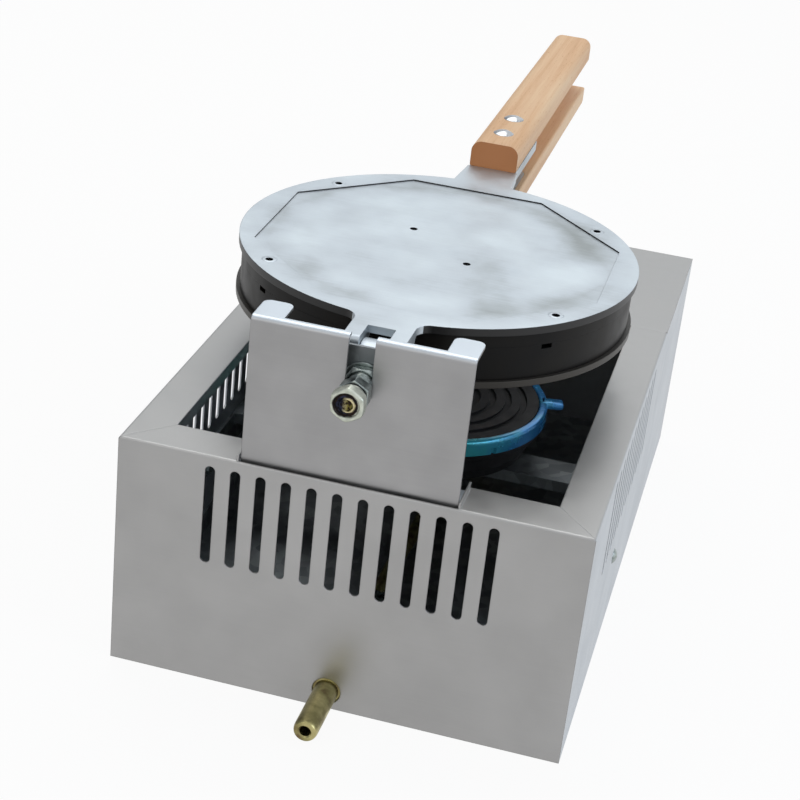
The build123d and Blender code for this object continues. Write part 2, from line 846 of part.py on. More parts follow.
def burner_bowl():
    foot = support_height
    flange_z = bowl_top - bowl_flange
    inner_radius = bowl_shoulder_radius - bowl_wall
    outer = turned((0, foot), (bowl_foot_radius, foot), (inner_radius, foot + bowl_wall * 2),
                   (bowl_shoulder_radius, foot + bowl_wall * 4), (bowl_shoulder_radius, flange_z),
                   (bowl_flange_radius, flange_z), (bowl_flange_radius, bowl_top), (0, bowl_top))
    hollow = turned((0, foot + bowl_wall), (bowl_foot_radius, foot + bowl_wall),
                    (inner_radius - bowl_wall, foot + bowl_wall * 3),
                    (inner_radius, foot + bowl_wall * 5), (inner_radius, bowl_top), (0, bowl_top))
    socket_y = (-bowl_flange_radius - socket_length / 2, -bowl_shoulder_radius + bowl_wall)
    socket = rod(0, socket_y, burner_axis_z, tube_radius + socket_wall)
    bore_y = (socket_y[0], socket_y[1] + socket_length)
    bowl = (outer + socket) - hollow - rod(0, bore_y, burner_axis_z, tube_radius + running_fit)
    return bowl - post(0, 0, (foot, foot + bowl_wall), burner_bolt_radius + hole_clearance)


def burner_bolt():
    # holds the bowl to the strip: head inside the bowl, shank below
    head_z = support_height + bowl_wall
    bolt = extrude(Pos(0, 0, head_z) * hexagon(burner_bolt_head_flats), burner_bolt_head)
    low = support_height - support_sheet - 2 * burner_bolt_head
    return bolt + post(0, 0, (low, head_z), burner_bolt_radius)


def burner_nut():
    z = support_height - support_sheet - burner_bolt_head
    nut_body = extrude(Pos(0, 0, z) * hexagon(burner_bolt_head_flats), burner_bolt_head)
    return nut_body - post(0, 0, (z, z + burner_bolt_head), burner_bolt_radius + running_fit)


def burner_ring():
    inside = ring_radius - ring_wall
    ring = turned((inside, bowl_top), (ring_radius, bowl_top), (ring_radius, bowl_top + ring_height),
                  (inside, bowl_top + ring_height))
    # flame ports down the inside, open at the top
    slot_x = (inside - sheet, inside + ring_slot_depth)
    cut = block(slot_x, span(0, ring_slot_width), (bowl_top, bowl_top + ring_height))
    for index in range(ring_slots):
        ring -= Rot(0, 0, index * 360 / ring_slots) * cut
    lug_z = (bowl_top + ring_height - ring_lug_height, bowl_top + ring_height)
    lug_x = (ring_radius - ring_wall / 2, ring_radius + ring_lug_length)
    return ring + Rot(0, 0, ring_lug_angle) * block(lug_x, span(0, ring_lug_width), lug_z)


def burner_cap():
    radius = ring_radius - ring_wall - cap_gap
    top = bowl_top + cap_rise
    cap = turned((0, top - cap_thickness), (radius - cap_skirt, top - cap_thickness),
                 (radius - cap_skirt, bowl_top), (radius, bowl_top), (radius, top), (0, top))
    for index in range(cap_grooves):
        inside = cap_groove_first + index * cap_groove_pitch
        cap -= turned((inside, top - cap_groove_depth), (inside + cap_groove_width, top - cap_groove_depth),
                      (inside + cap_groove_width, top), (inside, top))
    return cap


# gas line

def mouth_ports(y):
    # air ports through a plate across the mixing tube's axis
    reach = Vector(air_port_reach, 0)
    angles = [index * 360 / air_port_count for index in range(air_port_count)]
    places = [reach.rotate(Axis.Z, angle) for angle in angles]
    return [rod(p.X, y, burner_axis_z + p.Y, air_port_radius) for p in places]


def mixing_tube():
    # straight tube with a flared mouth, closed by a plate with the air ports
    flare_end = mouth_thickness + mouth_radius - tube_radius
    centre = injector_radius + running_fit
    tube = turned((centre, 0), (mouth_radius, 0), (mouth_radius, mouth_thickness),
                  (tube_radius, flare_end), (tube_radius, tube_length),
                  (tube_radius - tube_wall, tube_length), (tube_radius - tube_wall, flare_end),
                  (mouth_radius - tube_wall, mouth_thickness), (centre, mouth_thickness))
    tube = Pos(0, tube_end_y, burner_axis_z) * Rot(-90, 0, 0) * tube
    return tube - mouth_ports((tube_end_y, tube_end_y + mouth_thickness))


def air_shutter():
    disc = rod(0, shutter_y, burner_axis_z, mouth_radius)
    tab_z = (burner_axis_z + mouth_radius - sheet, burner_axis_z + mouth_radius + shutter_tab)
    disc += block(span(0, shutter_tab_width), shutter_y, tab_z)
    disc -= mouth_ports(shutter_y)
    return disc - rod(0, shutter_y, burner_axis_z, injector_radius + running_fit)


def injector():
    y = (valve_y[1], tube_end_y + mouth_thickness + injector_inside)
    body = rod(0, y, burner_axis_z, injector_radius)
    body += hex_bar(0, (valve_y[1], valve_y[1] + injector_hex), burner_axis_z, injector_flats)
    return body - rod(0, (y[1] - injector_inside, y[1]), burner_axis_z, jet_radius)


def gas_valve():
    flange = block(span(0, valve_flange_width), (valve_y[0], valve_y[0] + valve_flange),
                   span(burner_axis_z, valve_flange_height))
    body = flange + rod(0, valve_y, burner_axis_z, valve_radius)
    body += post(0, valve_inlet_y, (valve_inlet_z, burner_axis_z), valve_inlet_radius)
    body -= rod(0, (valve_y[0], plug_y[1]), burner_axis_z, plug_radius + running_fit)
    for side in (-1, 1):
        x = side * valve_screw_reach
        body -= rod(x, (valve_y[0], valve_y[0] + valve_flange), burner_axis_z, screw_radius + running_fit)
    return body


def valve_plug():
    plug = rod(0, plug_y, burner_axis_z, plug_radius)
    return plug - rod(0, (plug_y[0], plug_y[1] - plug_end_wall), burner_axis_z, stem_radius + running_fit)


def valve_stem():
    return rod(0, (knob_front + knob_grip_depth / 2, plug_y[0] + stem_inside), burner_axis_z, stem_radius)


def knob():
    skirt = rod(0, (knob_back - knob_skirt, knob_back), burner_axis_z, knob_radius)
    skirt = chamfer(skirt.edges().group_by(Axis.Y)[0], knob_edge)
    half = knob_radius - knob_edge
    grip_y = (knob_front, knob_back - knob_skirt)
    grip = block(span(0, knob_grip_width), grip_y, span(burner_axis_z, 2 * half))
    grip &= rod(0, grip_y, burner_axis_z, half)
    grip = fillet(grip.edges().group_by(Axis.Y)[0], knob_edge)
    body = skirt + grip
    pointer_y = (knob_front, knob_front + knob_pointer_depth)
    body -= block(span(0, knob_pointer_width), pointer_y, (burner_axis_z + half / 2, burner_axis_z + half))
    bore_y = (knob_front + knob_grip_depth / 2, knob_back)
    return body - rod(0, bore_y, burner_axis_z, stem_radius + running_fit)


def valve_screws():
    # two cheese-head screws through the front panel into the valve's flange
    screws = []
    for side in (-1, 1):
        x = side * valve_screw_reach
        screw = rod(x, (front_y, valve_y[0] + valve_flange), burner_axis_z, screw_radius)
        head_y = (front_y - valve_screw_head_height, front_y)
        screws.append(screw + rod(x, head_y, burner_axis_z, valve_screw_head))
    return screws


def gas_pipe():
    # from the nozzle along the base, over to the valve's line, then up into the valve
    start = rear_y - sheet - nozzle_hex_length - pipe_nut_length
    points = [(pan_x, start, inlet_height), (pan_x, pipe_jog_start, inlet_height),
              (0, pipe_jog_end, inlet_height), (0, valve_inlet_y, inlet_height),
              (0, valve_inlet_y, valve_inlet_z)]
    route = FilletPolyline(*points, radius=[pipe_jog_bend, pipe_jog_bend, pipe_bend])
    section = Plane(route @ 0, z_dir=route % 0) * Circle(pipe_radius)
    return sweep(section, path=route)


def pipe_nut():
    # union nut under the valve's inlet
    z = valve_inlet_z - pipe_nut_length
    body = extrude(Pos(0, valve_inlet_y, z) * hexagon(pipe_nut_flats), pipe_nut_length)
    return body - post(0, valve_inlet_y, (z, valve_inlet_z), pipe_radius + running_fit)


def hose_nozzle():
    tip = rear_y + nozzle_reach
    hex_y = (rear_y - sheet - nozzle_hex_length, rear_y - sheet)
    body = hex_bar(pan_x, hex_y, inlet_height, nozzle_hex_flats)
    body += rod(pan_x, (hex_y[1], tip - nozzle_tip_length), inlet_height, nozzle_radius)
    end = Cone(nozzle_radius, nozzle_tip_radius, nozzle_tip_length)
    body += Pos(pan_x, tip - nozzle_tip_length / 2, inlet_height) * Rot(-90, 0, 0) * end
    return body - rod(pan_x, (rear_y, tip), inlet_height, nozzle_bore)


def inlet_nut():
    # joins the pipe to the nozzle inside the casing
    y_high = rear_y - sheet - nozzle_hex_length
    y = (y_high - pipe_nut_length - pipe_radius, y_high)
    body = hex_bar(pan_x, y, inlet_height, pipe_nut_flats)
    return body - rod(pan_x, (y[0], y_high - pipe_nut_length), inlet_height, pipe_radius + running_fit)


def pipe_saddles():
    # blocks on the base that the pipe passes through
    saddles = []
    for place, x in zip(saddle_places, (pan_x, 0)):
        top = inlet_height + pipe_radius + saddle_cover
        body = block(span(x, saddle_width), span(place, saddle_length), (sheet, top))
        saddles.append(body - rod(x, span(place, saddle_length), inlet_height, pipe_radius + running_fit))
    return saddles


pieces = {
    "rear_panel": rear_panel(),
    "right_side_panel": side_panel(),
    "left_side_panel": mirror(side_panel(), about=Plane.YZ),
    "front_panel": front_panel(),
    "front_cover": front_cover(),
    "base_plate": base_plate(),
    "pan_bracket": pan_bracket(),
    "end_nut": end_nut(),
    "front_nut": nut(front_nut_y, front_nut_flats, 30, shaft_radius + running_fit),
    "pivot_washer": ring_washer(washer_y, pivot_washer_radius),
    "back_nut": nut(back_nut_y, back_nut_flats, 0, shaft_radius + running_fit),
    "shaft_washer": ring_washer(shaft_washer_y, shaft_washer_radius),
    "hinge_back_plate": hinge_back_plate(),
    "pivot_shaft": pivot_shaft(),
    "hinge_pin": hinge_pin(),
    "upper_back_plate": upper_back_plate(),
    "upper_mould": upper_mould(),
    "upper_screws": upper_screws(),
    "upper_handle": upper_handle(),
    "upper_handle_bolts": upper_handle_bolts(),
    "upper_handle_nuts": upper_handle_nuts(),
    "lower_back_plate": lower_back_plate(),
    "lower_mould": lower_mould(),
    "lower_screws": lower_screws(),
    "lower_handle": lower_handle(),
    "lower_handle_bolts": lower_handle_bolts(),
    "lower_handle_nuts": lower_handle_nuts(),
    "burner_support": burner_support(),
    "side_screws": pair(side_screw()),
    "side_nuts": pair(side_nut()),
    "burner_bowl": burner_bowl(),
    "burner_bolt": burner_bolt(),
    "burner_nut": burner_nut(),
    "burner_ring": burner_ring(),
    "burner_cap": burner_cap(),
    "mixing_tube": mixing_tube(),
    "air_shutter": air_shutter(),
    "injector": injector(),
    "gas_valve": gas_valve(),
    "valve_screws": valve_screws(),
    "valve_plug": valve_plug(),
    "valve_stem": valve_stem(),
    "knob": knob(),
    "gas_pipe": gas_pipe(),
    "pipe_nut": pipe_nut(),
    "pipe_saddles": pipe_saddles(),
    "hose_nozzle": hose_nozzle(),
    "inlet_nut": inlet_nut(),
}

for name, shape in pieces.items():
    if isinstance(shape, list):
        shape = Compound(children=shape)
    export_step(shape, f"parts/{name}.step")
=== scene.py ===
from math import cos, pi, radians, sin, tan

import bmesh
import bpy
from mathutils import Matrix, Vector


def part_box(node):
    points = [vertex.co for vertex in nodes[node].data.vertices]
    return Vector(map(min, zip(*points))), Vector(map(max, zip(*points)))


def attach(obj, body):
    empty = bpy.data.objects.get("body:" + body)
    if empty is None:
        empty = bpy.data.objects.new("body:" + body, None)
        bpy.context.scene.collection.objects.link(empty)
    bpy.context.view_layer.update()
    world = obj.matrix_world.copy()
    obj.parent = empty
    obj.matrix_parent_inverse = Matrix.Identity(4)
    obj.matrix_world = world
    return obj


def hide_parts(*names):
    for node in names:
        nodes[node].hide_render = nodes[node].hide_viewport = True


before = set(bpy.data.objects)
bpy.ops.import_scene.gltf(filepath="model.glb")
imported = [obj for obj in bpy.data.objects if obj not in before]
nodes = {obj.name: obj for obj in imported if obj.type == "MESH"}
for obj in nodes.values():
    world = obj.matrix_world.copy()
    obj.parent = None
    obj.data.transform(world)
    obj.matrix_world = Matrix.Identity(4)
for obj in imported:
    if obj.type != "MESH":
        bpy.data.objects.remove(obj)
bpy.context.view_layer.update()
mm = 0.001
print("frame loaded:", len(nodes), "nodes")


def linear(hexColour):
    parts = [int(hexColour[start:start + 2], 16) / 255 for start in (1, 3, 5)]
    return [part / 12.92 if part <= 0.04045 else ((part + 0.055) / 1.055) ** 2.4 for part in parts] + [1.0]


def addNode(tree, kind, settings={}, links={}, stops=()):
    # one node: settings are properties or unlinked sockets, links feed sockets, stops fill a colour ramp
    node = tree.nodes.new(kind)
    for name, value in settings.items():
        if isinstance(name, int) or name in node.inputs:
            node.inputs[name].default_value = value
        else:
            setattr(node, name, value)
    for name, source in links.items():
        tree.links.new(source, node.inputs[name])
    for index, (position, colour) in enumerate(stops):
        elements = node.color_ramp.elements
        element = elements[index] if index < 2 else elements.new(position)
        element.position = position
        element.color = linear(colour)
    return node


# camera, set up as the photograph was taken: from the gas inlet side, a little above
cameraValues = {
    "position": (-174.4, 923.8, 549.0),
    "azimuth": 11.93,
    "elevation": 26.38,
    "roll": -6.37,
    "lens": 84.84,
}


def makeCamera(values):
    azimuth, elevation, roll = [radians(values[key]) for key in ("azimuth", "elevation", "roll")]
    forward = Vector((sin(azimuth) * cos(elevation), -cos(azimuth) * cos(elevation), -sin(elevation)))
    right = forward.cross(Vector((0, 0, 1))).normalized()
    down = forward.cross(right)
    across = right * cos(roll) + down * sin(roll)
    upward = right * sin(roll) - down * cos(roll)
    data = bpy.data.cameras.new("camera")
    data.lens = values["lens"]
    camera = bpy.data.objects.new("camera", data)
    turn = Matrix((across, upward, -forward)).transposed().to_4x4()
    camera.matrix_world = Matrix.Translation(Vector(values["position"]) * mm) @ turn
    bpy.context.scene.collection.objects.link(camera)
    bpy.context.scene.camera = camera


makeCamera(cameraValues)
print("camera placed")

# light: a white studio with one large softbox above and behind, and a weaker one on the right
studioValues = {
    "fillColour": "#EEF2F7",
    "fillStrength": 0.52,
    "reflectedColour": "#F4F8FC",
    "flagColour": "#A4A8AD",
    "seenColour": "#FFFFFF",
    "floorColour": "#F2F2F0",
    "floorWhiteShare": 0.93,
    "floorReflectedShare": 0.7,
    "floorSize": 12.0,
}
softboxes = {
    "overhead_box": {"place": (0.35, -0.75, 1.75), "size": 1.3, "power": 10, "colour": "#FFFFFF"},
    "right_box": {"place": (-1.7, 0.35, 0.95), "size": 1.1, "power": 9, "colour": "#DCE8FF"},
    "front_box": {"place": (0.9, 1.9, 1.5), "size": 1.2, "power": 5, "colour": "#FFF8F0"},
}


def backgroundRays(tree):
    # 1 for the rays that should see the plain white background: direct, mirrored and refracted
    path = addNode(tree, "ShaderNodeLightPath")
    mirrored = addNode(tree, "ShaderNodeMath", {"operation": "MAXIMUM"},
                       {0: path.outputs["Is Glossy Ray"], 1: path.outputs["Is Transmission Ray"]})
    return path.outputs["Is Camera Ray"], mirrored.outputs[0]


def makeWorld(values):
    world = bpy.data.worlds.new("studio")
    world.use_nodes = True
    world.cycles.sampling_method = "NONE"
    bpy.context.scene.world = world
    tree = world.node_tree
    tree.nodes.clear()
    direct, mirrored = backgroundRays(tree)
    fill = addNode(tree, "ShaderNodeBackground",
                   {"Color": linear(values["fillColour"]), "Strength": values["fillStrength"]})
    # a dark flag on the +X side keeps the pan's left wall and the casing's far side from glaring
    toward = addNode(tree, "ShaderNodeSeparateXYZ", {}, {0: addNode(tree, "ShaderNodeTexCoord").outputs["Generated"]})
    flag = addNode(tree, "ShaderNodeMapRange", {"From Min": 0.05, "From Max": 0.65}, {"Value": toward.outputs["X"]})
    shade = addNode(tree, "ShaderNodeMix", {"data_type": "RGBA", 6: linear(values["reflectedColour"]),
                                            7: linear(values["flagColour"])}, {0: flag.outputs[0]})
    reflected = addNode(tree, "ShaderNodeBackground", {}, {"Color": shade.outputs[2]})
    seen = addNode(tree, "ShaderNodeBackground", {"Color": linear(values["seenColour"])})
    glossy = addNode(tree, "ShaderNodeMixShader", {},
                     {0: mirrored, 1: fill.outputs[0], 2: reflected.outputs[0]})
    final = addNode(tree, "ShaderNodeMixShader", {}, {0: direct, 1: glossy.outputs[0], 2: seen.outputs[0]})
    addNode(tree, "ShaderNodeOutputWorld", {}, {"Surface": final.outputs[0]})


def floorFinish(values):
    # matt white studio paper: near white to the eye, still taking the shadow
    material = bpy.data.materials.new("matt_paper")
    material.use_nodes = True
    tree = material.node_tree
    tree.nodes.clear()
    paper = addNode(tree, "ShaderNodeBsdfDiffuse", {"Color": linear(values["floorColour"])})
    white = addNode(tree, "ShaderNodeEmission", {"Color": linear(values["seenColour"])})
    direct, mirrored = backgroundRays(tree)
    seen = addNode(tree, "ShaderNodeMath", {"operation": "MULTIPLY", 1: values["floorWhiteShare"]}, {0: direct})
    share = addNode(tree, "ShaderNodeMath", {"operation": "MULTIPLY_ADD", 1: values["floorReflectedShare"]},
                    {0: mirrored, 2: seen.outputs[0]})
    final = addNode(tree, "ShaderNodeMixShader", {},
                    {0: share.outputs[0], 1: paper.outputs[0], 2: white.outputs[0]})
    addNode(tree, "ShaderNodeOutputMaterial", {}, {"Surface": final.outputs[0]})
    return material


def makeStudio(values):
    makeWorld(values)
    half = values["floorSize"] / 2
    mesh = bpy.data.meshes.new("floor")
    mesh.from_pydata([(-half, -half, 0), (half, -half, 0), (half, half, 0), (-half, half, 0)], [], [(0, 1, 2, 3)])
    mesh.materials.append(floorFinish(values))
    floor = bpy.data.objects.new("floor", mesh)
    bpy.context.scene.collection.objects.link(floor)
    target = Vector((0, 0, 0.12))
    for name, box in softboxes.items():
        data = bpy.data.lights.new(name, "AREA")
        data.shape = "SQUARE"
        data.size = box["size"]
        data.energy = box["power"]
        data.color = linear(box["colour"])[:3]
        lamp = bpy.data.objects.new(name, data)
        place = Vector(box["place"])
        lamp.location = place
        lamp.rotation_euler = (target - place).to_track_quat("-Z", "Y").to_euler()
        bpy.context.scene.collection.objects.link(lamp)
    bpy.context.scene.view_settings.view_transform = "Standard"


makeStudio(studioValues)
print("studio lit")


# finishes

def newFinish(name, settings):
    # a principled surface, its node tree and the object's own coordinates
    material = bpy.data.materials.new(name)
    material.use_nodes = True
    tree = material.node_tree
    shader = tree.nodes["Principled BSDF"]
    for key, value in settings.items():
        shader.inputs[key].default_value = value
    place = addNode(tree, "ShaderNodeTexCoord").outputs["Object"]
    return material, tree, shader, place


def patches(tree, place, sizeMm, low, high, detail=3.0, contrast=0.2):
    # a cloudy value from low to high, in patches of about the given size
    cloud = addNode(tree, "ShaderNodeTexNoise", {"Scale": 1000 / sizeMm, "Detail": detail}, {"Vector": place})
    spread = addNode(tree, "ShaderNodeMapRange",
                     {"From Min": 0.5 - contrast, "From Max": 0.5 + contrast, "To Min": low, "To Max": high},
                     {"Value": cloud.outputs[0]})
    return spread.outputs[0]


def stretched(tree, place, sizesMm):
    # coordinates counted in grains of the given size along each axis
    grain = addNode(tree, "ShaderNodeMapping", {"Scale": [1000 / size for size in sizesMm]}, {"Vector": place})
    return grain.outputs[0]


def relief(tree, height, depthMm, under=None, strength=1.0):
    # bump of a real depth, on top of another normal if one is given
    links = {"Height": height}
    if under:
        links["Normal"] = under
    bump = addNode(tree, "ShaderNodeBump", {"Distance": depthMm * mm, "Strength": strength}, links)
    return bump.outputs[0]


def softEdge(tree, radiusMm):
    # rounds the look of folds and cut edges by a real radius
    return addNode(tree, "ShaderNodeBevel", {"samples": 4, "Radius": radiusMm * mm}).outputs[0]


def ownNormal(tree):
    # the face's direction in the piece's own axes, so that it stays the same when the pan opens or turns
    world = addNode(tree, "ShaderNodeNewGeometry").outputs["True Normal"]
    own = addNode(tree, "ShaderNodeVectorTransform",
                  {"vector_type": "NORMAL", "convert_from": "WORLD", "convert_to": "OBJECT"}, {0: world})
    return addNode(tree, "ShaderNodeSeparateXYZ", {}, {0: own.outputs[0]}).outputs


sheetValues = {
    "darkColour": "#A5A4A3",
    "lightColour": "#AEADAC",
    "paintedTopLightColour": "#ADACAA",
    "cloudMm": 42.0,
    "streakMm": 0.7,
    "streakLengthMm": 90.0,
    "streakDepthMm": 0.004,
    "smudgeMm": 18.0,
    "roughness": (0.36, 0.46),
    "foldRadiusMm": 0.9,
}


def stainlessSheet(name, values, along):
    # 304 stainless sheet, cold rolled and lightly brushed along one axis: grey, silky, with faint streaks,
    # handling smudges that change its gloss, painted light that makes faces turned up lighter, and folds that catch the
    # light
    material, tree, shader, place = newFinish(name, {"Metallic": 1.0})
    grainMm = [values["streakMm"]] * 3
    grainMm["XYZ".index(along)] = values["streakLengthMm"]
    streaks = addNode(tree, "ShaderNodeTexNoise", {"Scale": 1.0, "Detail": 2.0},
                      {"Vector": stretched(tree, place, grainMm)}).outputs[0]
    cloud = patches(tree, place, values["cloudMm"], 0.0, 0.75)
    tone = addNode(tree, "ShaderNodeMath", {"operation": "MULTIPLY_ADD", 1: 0.3}, {0: streaks, 2: cloud})
    colour = addNode(tree, "ShaderNodeValToRGB", {}, {"Fac": tone.outputs[0]},
                     stops=((0.1, values["darkColour"]), (0.9, values["lightColour"])))
    low, high = values["roughness"]
    gloss = patches(tree, place, values["smudgeMm"], low, high, detail=6.0)
    fold = softEdge(tree, values["foldRadiusMm"])
    facing = ownNormal(tree)
    # painted light: faces turned up take the lighter up colour, standing in for the light from above
    upward = addNode(tree, "ShaderNodeMapRange", {"From Min": 0.4, "From Max": 0.9}, {"Value": facing["Z"]})
    paintedTopLight = addNode(tree, "ShaderNodeMix", {"data_type": "RGBA", 7: linear(values["paintedTopLightColour"])},
                   {0: upward.outputs[0], 6: colour.outputs[0]})
    tree.links.new(paintedTopLight.outputs[2], shader.inputs["Base Color"])
    tree.links.new(gloss, shader.inputs["Roughness"])
    tree.links.new(relief(tree, streaks, values["streakDepthMm"], fold), shader.inputs["Normal"])
    return material


castingValues = {
    "palest": "#CCD4D8",
    "middle": "#BEC5CA",
    "stainAndDishShade": "#989D9D",
    "cloudMm": 46.0,
    "scratchMm": 1.1,
    "scratchLengthMm": 26.0,
    "grainMm": 0.9,
    "grainDepthMm": 0.02,
    "roughness": (0.42, 0.56),
    # the next three values place a painted shade ring on the milled face, standing in for the shading of a slight dish
    "ringMm": 85.0,
    "dishShadeWidthMm": 15.0,
    "dishShadeShare": 0.34,
    "edgeRadiusMm": 0.5,
    "rimFromMm": 200.0,
    "sideReachMm": 105.0,
    "sideColour": "#0D0C0C",
    "sideMetal": 0.0,
    "sideRoughness": 0.4,
}


def castAluminium(name, values):
    # aluminium casting, face milled and hand rubbed: cool and pale, cloudy from the rubbing, with short
    # scratches across it and a ring of painted shade round the centre for the shading of a slight dish; the disc's edge
    # keeps its baked coat
    material, tree, shader, place = newFinish(name, {"Metallic": 1.0})
    low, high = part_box("upper_mould")
    centre = (low + high) / 2
    fromCentre = addNode(tree, "ShaderNodeVectorMath", {"operation": "SUBTRACT", 1: (centre.x, centre.y, 0)},
                         {0: place})
    flat = addNode(tree, "ShaderNodeVectorMath", {"operation": "MULTIPLY", 1: (1, 1, 0)},
                   {0: fromCentre.outputs[0]})
    radius = addNode(tree, "ShaderNodeVectorMath", {"operation": "LENGTH"}, {0: flat.outputs[0]})
    wander = patches(tree, place, values["cloudMm"], -0.005, 0.005, detail=1.0)
    wobbly = addNode(tree, "ShaderNodeMath", {"operation": "ADD"}, {0: radius.outputs["Value"], 1: wander})
    # painted shade: the ring is darkened toward the darkest colour, standing in for the shading of a slight dish
    offDishShade = addNode(tree, "ShaderNodeMath", {"operation": "SUBTRACT", 1: values["ringMm"] * mm},
                      {0: wobbly.outputs[0]})
    distance = addNode(tree, "ShaderNodeMath", {"operation": "ABSOLUTE"}, {0: offDishShade.outputs[0]})
    ring = addNode(tree, "ShaderNodeMapRange",
                   {"From Min": 0.0, "From Max": values["dishShadeWidthMm"] * mm, "To Min": values["dishShadeShare"], "To Max": 0.0},
                   {"Value": distance.outputs[0]})
    cloud = patches(tree, place, values["cloudMm"], 0.0, 0.62, detail=5.0)
    grainMm = (values["scratchLengthMm"], values["scratchMm"], values["scratchMm"])
    scratches = addNode(tree, "ShaderNodeTexNoise", {"Scale": 1.0, "Detail": 2.0},
                        {"Vector": stretched(tree, place, grainMm)}).outputs[0]
    dull = addNode(tree, "ShaderNodeMath", {"operation": "ADD"}, {0: cloud, 1: ring.outputs[0]})
    tone = addNode(tree, "ShaderNodeMath", {"operation": "MULTIPLY_ADD", 1: 0.22}, {0: scratches, 2: dull.outputs[0]})
    colour = addNode(tree, "ShaderNodeValToRGB", {}, {"Fac": tone.outputs[0]},
                     stops=((0.12, values["palest"]), (0.55, values["middle"]), (1.0, values["stainAndDishShade"])))
    lowGloss, highGloss = values["roughness"]
    gloss = patches(tree, place, values["cloudMm"] / 3, lowGloss, highGloss, detail=5.0)
    grain = addNode(tree, "ShaderNodeTexNoise", {"Scale": 1000 / values["grainMm"]}, {"Vector": place}).outputs[0]
    edge = softEdge(tree, values["edgeRadiusMm"])
    facing = ownNormal(tree)
    level = addNode(tree, "ShaderNodeMath", {"operation": "ABSOLUTE"}, {0: facing["Z"]})
    upright = addNode(tree, "ShaderNodeMapRange",
                      {"From Min": 0.35, "From Max": 0.6, "To Min": 1.0, "To Max": 0.0}, {"Value": level.outputs[0]})
    inReach = addNode(tree, "ShaderNodeMath", {"operation": "LESS_THAN", 1: values["sideReachMm"] * mm},
                      {0: radius.outputs["Value"]})
    outside = addNode(tree, "ShaderNodeMath", {"operation": "GREATER_THAN", 1: values["rimFromMm"] * mm},
                      {0: radius.outputs["Value"]})
    coated = addNode(tree, "ShaderNodeMath", {"operation": "MAXIMUM"}, {0: upright.outputs[0], 1: outside.outputs[0]})
    side = addNode(tree, "ShaderNodeMath", {"operation": "MULTIPLY"}, {0: coated.outputs[0], 1: inReach.outputs[0]})
    sided = addNode(tree, "ShaderNodeMix", {"data_type": "RGBA", 7: linear(values["sideColour"])},
                    {0: side.outputs[0], 6: colour.outputs[0]})
    metal = addNode(tree, "ShaderNodeMapRange", {"To Min": 1.0, "To Max": values["sideMetal"]}, {"Value": side.outputs[0]})
    matt = addNode(tree, "ShaderNodeMix", {3: values["sideRoughness"]}, {0: side.outputs[0], 2: gloss})
    tree.links.new(sided.outputs[2], shader.inputs["Base Color"])
    tree.links.new(metal.outputs[0], shader.inputs["Metallic"])
    tree.links.new(matt.outputs[0], shader.inputs["Roughness"])
    tree.links.new(relief(tree, grain, values["grainDepthMm"], edge), shader.inputs["Normal"])
    return material


coatingValues = {
    "darkColour": "#0B0B0B",
    "lightColour": "#1A1713",
    "cloudMm": 30.0,
    "peelMm": 1.6,
    "peelDepthMm": 0.012,
    "roughness": (0.34, 0.46),
    "edgeRadiusMm": 0.4,
}


def nonstickCoating(name, values):
    # PTFE non-stick coat, sprayed and baked on cast aluminium: near black, half gloss, faint orange peel
    material, tree, shader, place = newFinish(name, {"IOR": 1.25})
    colour = addNode(tree, "ShaderNodeValToRGB", {},
                     {"Fac": patches(tree, place, values["cloudMm"], 0.0, 1.0)},
                     stops=((0.0, values["darkColour"]), (1.0, values["lightColour"])))
    low, high = values["roughness"]
    peel = addNode(tree, "ShaderNodeTexNoise", {"Scale": 1000 / values["peelMm"]}, {"Vector": place}).outputs[0]
    edge = softEdge(tree, values["edgeRadiusMm"])
    tree.links.new(colour.outputs[0], shader.inputs["Base Color"])
    tree.links.new(patches(tree, place, values["cloudMm"] / 2, low, high), shader.inputs["Roughness"])
    tree.links.new(relief(tree, peel, values["peelDepthMm"], edge), shader.inputs["Normal"])
    return material


ironValues = {
    "darkColour": "#101011",
    "lightColour": "#1D1D1E",
    "cloudMm": 20.0,
    "sandMm": 0.8,
    "sandDepthMm": 0.05,
    "roughness": (0.42, 0.58),
    "edgeRadiusMm": 0.4,
}


def enamelledIron(name, values):
    # cast iron under thin black enamel, fired: matt black with the sand grain of the mould
    material, tree, shader, place = newFinish(name, {})
    colour = addNode(tree, "ShaderNodeValToRGB", {},
                     {"Fac": patches(tree, place, values["cloudMm"], 0.0, 1.0, detail=6.0)},
                     stops=((0.0, values["darkColour"]), (1.0, values["lightColour"])))
    low, high = values["roughness"]
    sand = addNode(tree, "ShaderNodeTexNoise", {"Scale": 1000 / values["sandMm"]}, {"Vector": place}).outputs[0]
    edge = softEdge(tree, values["edgeRadiusMm"])
    tree.links.new(colour.outputs[0], shader.inputs["Base Color"])
    tree.links.new(patches(tree, place, values["cloudMm"] / 2, low, high), shader.inputs["Roughness"])
    tree.links.new(relief(tree, sand, values["sandDepthMm"], edge), shader.inputs["Normal"])
    return material


anodisedValues = {
    "green": "#6FF2DC",
    "teal": "#54D6E6",
    "blue": "#4AA6F0",
    "paintedReflectionFadeMm": (8.0, -58.0),
    "streakMm": 1.2,
    "roughness": (0.16, 0.3),
    "edgeRadiusMm": 0.5,
}


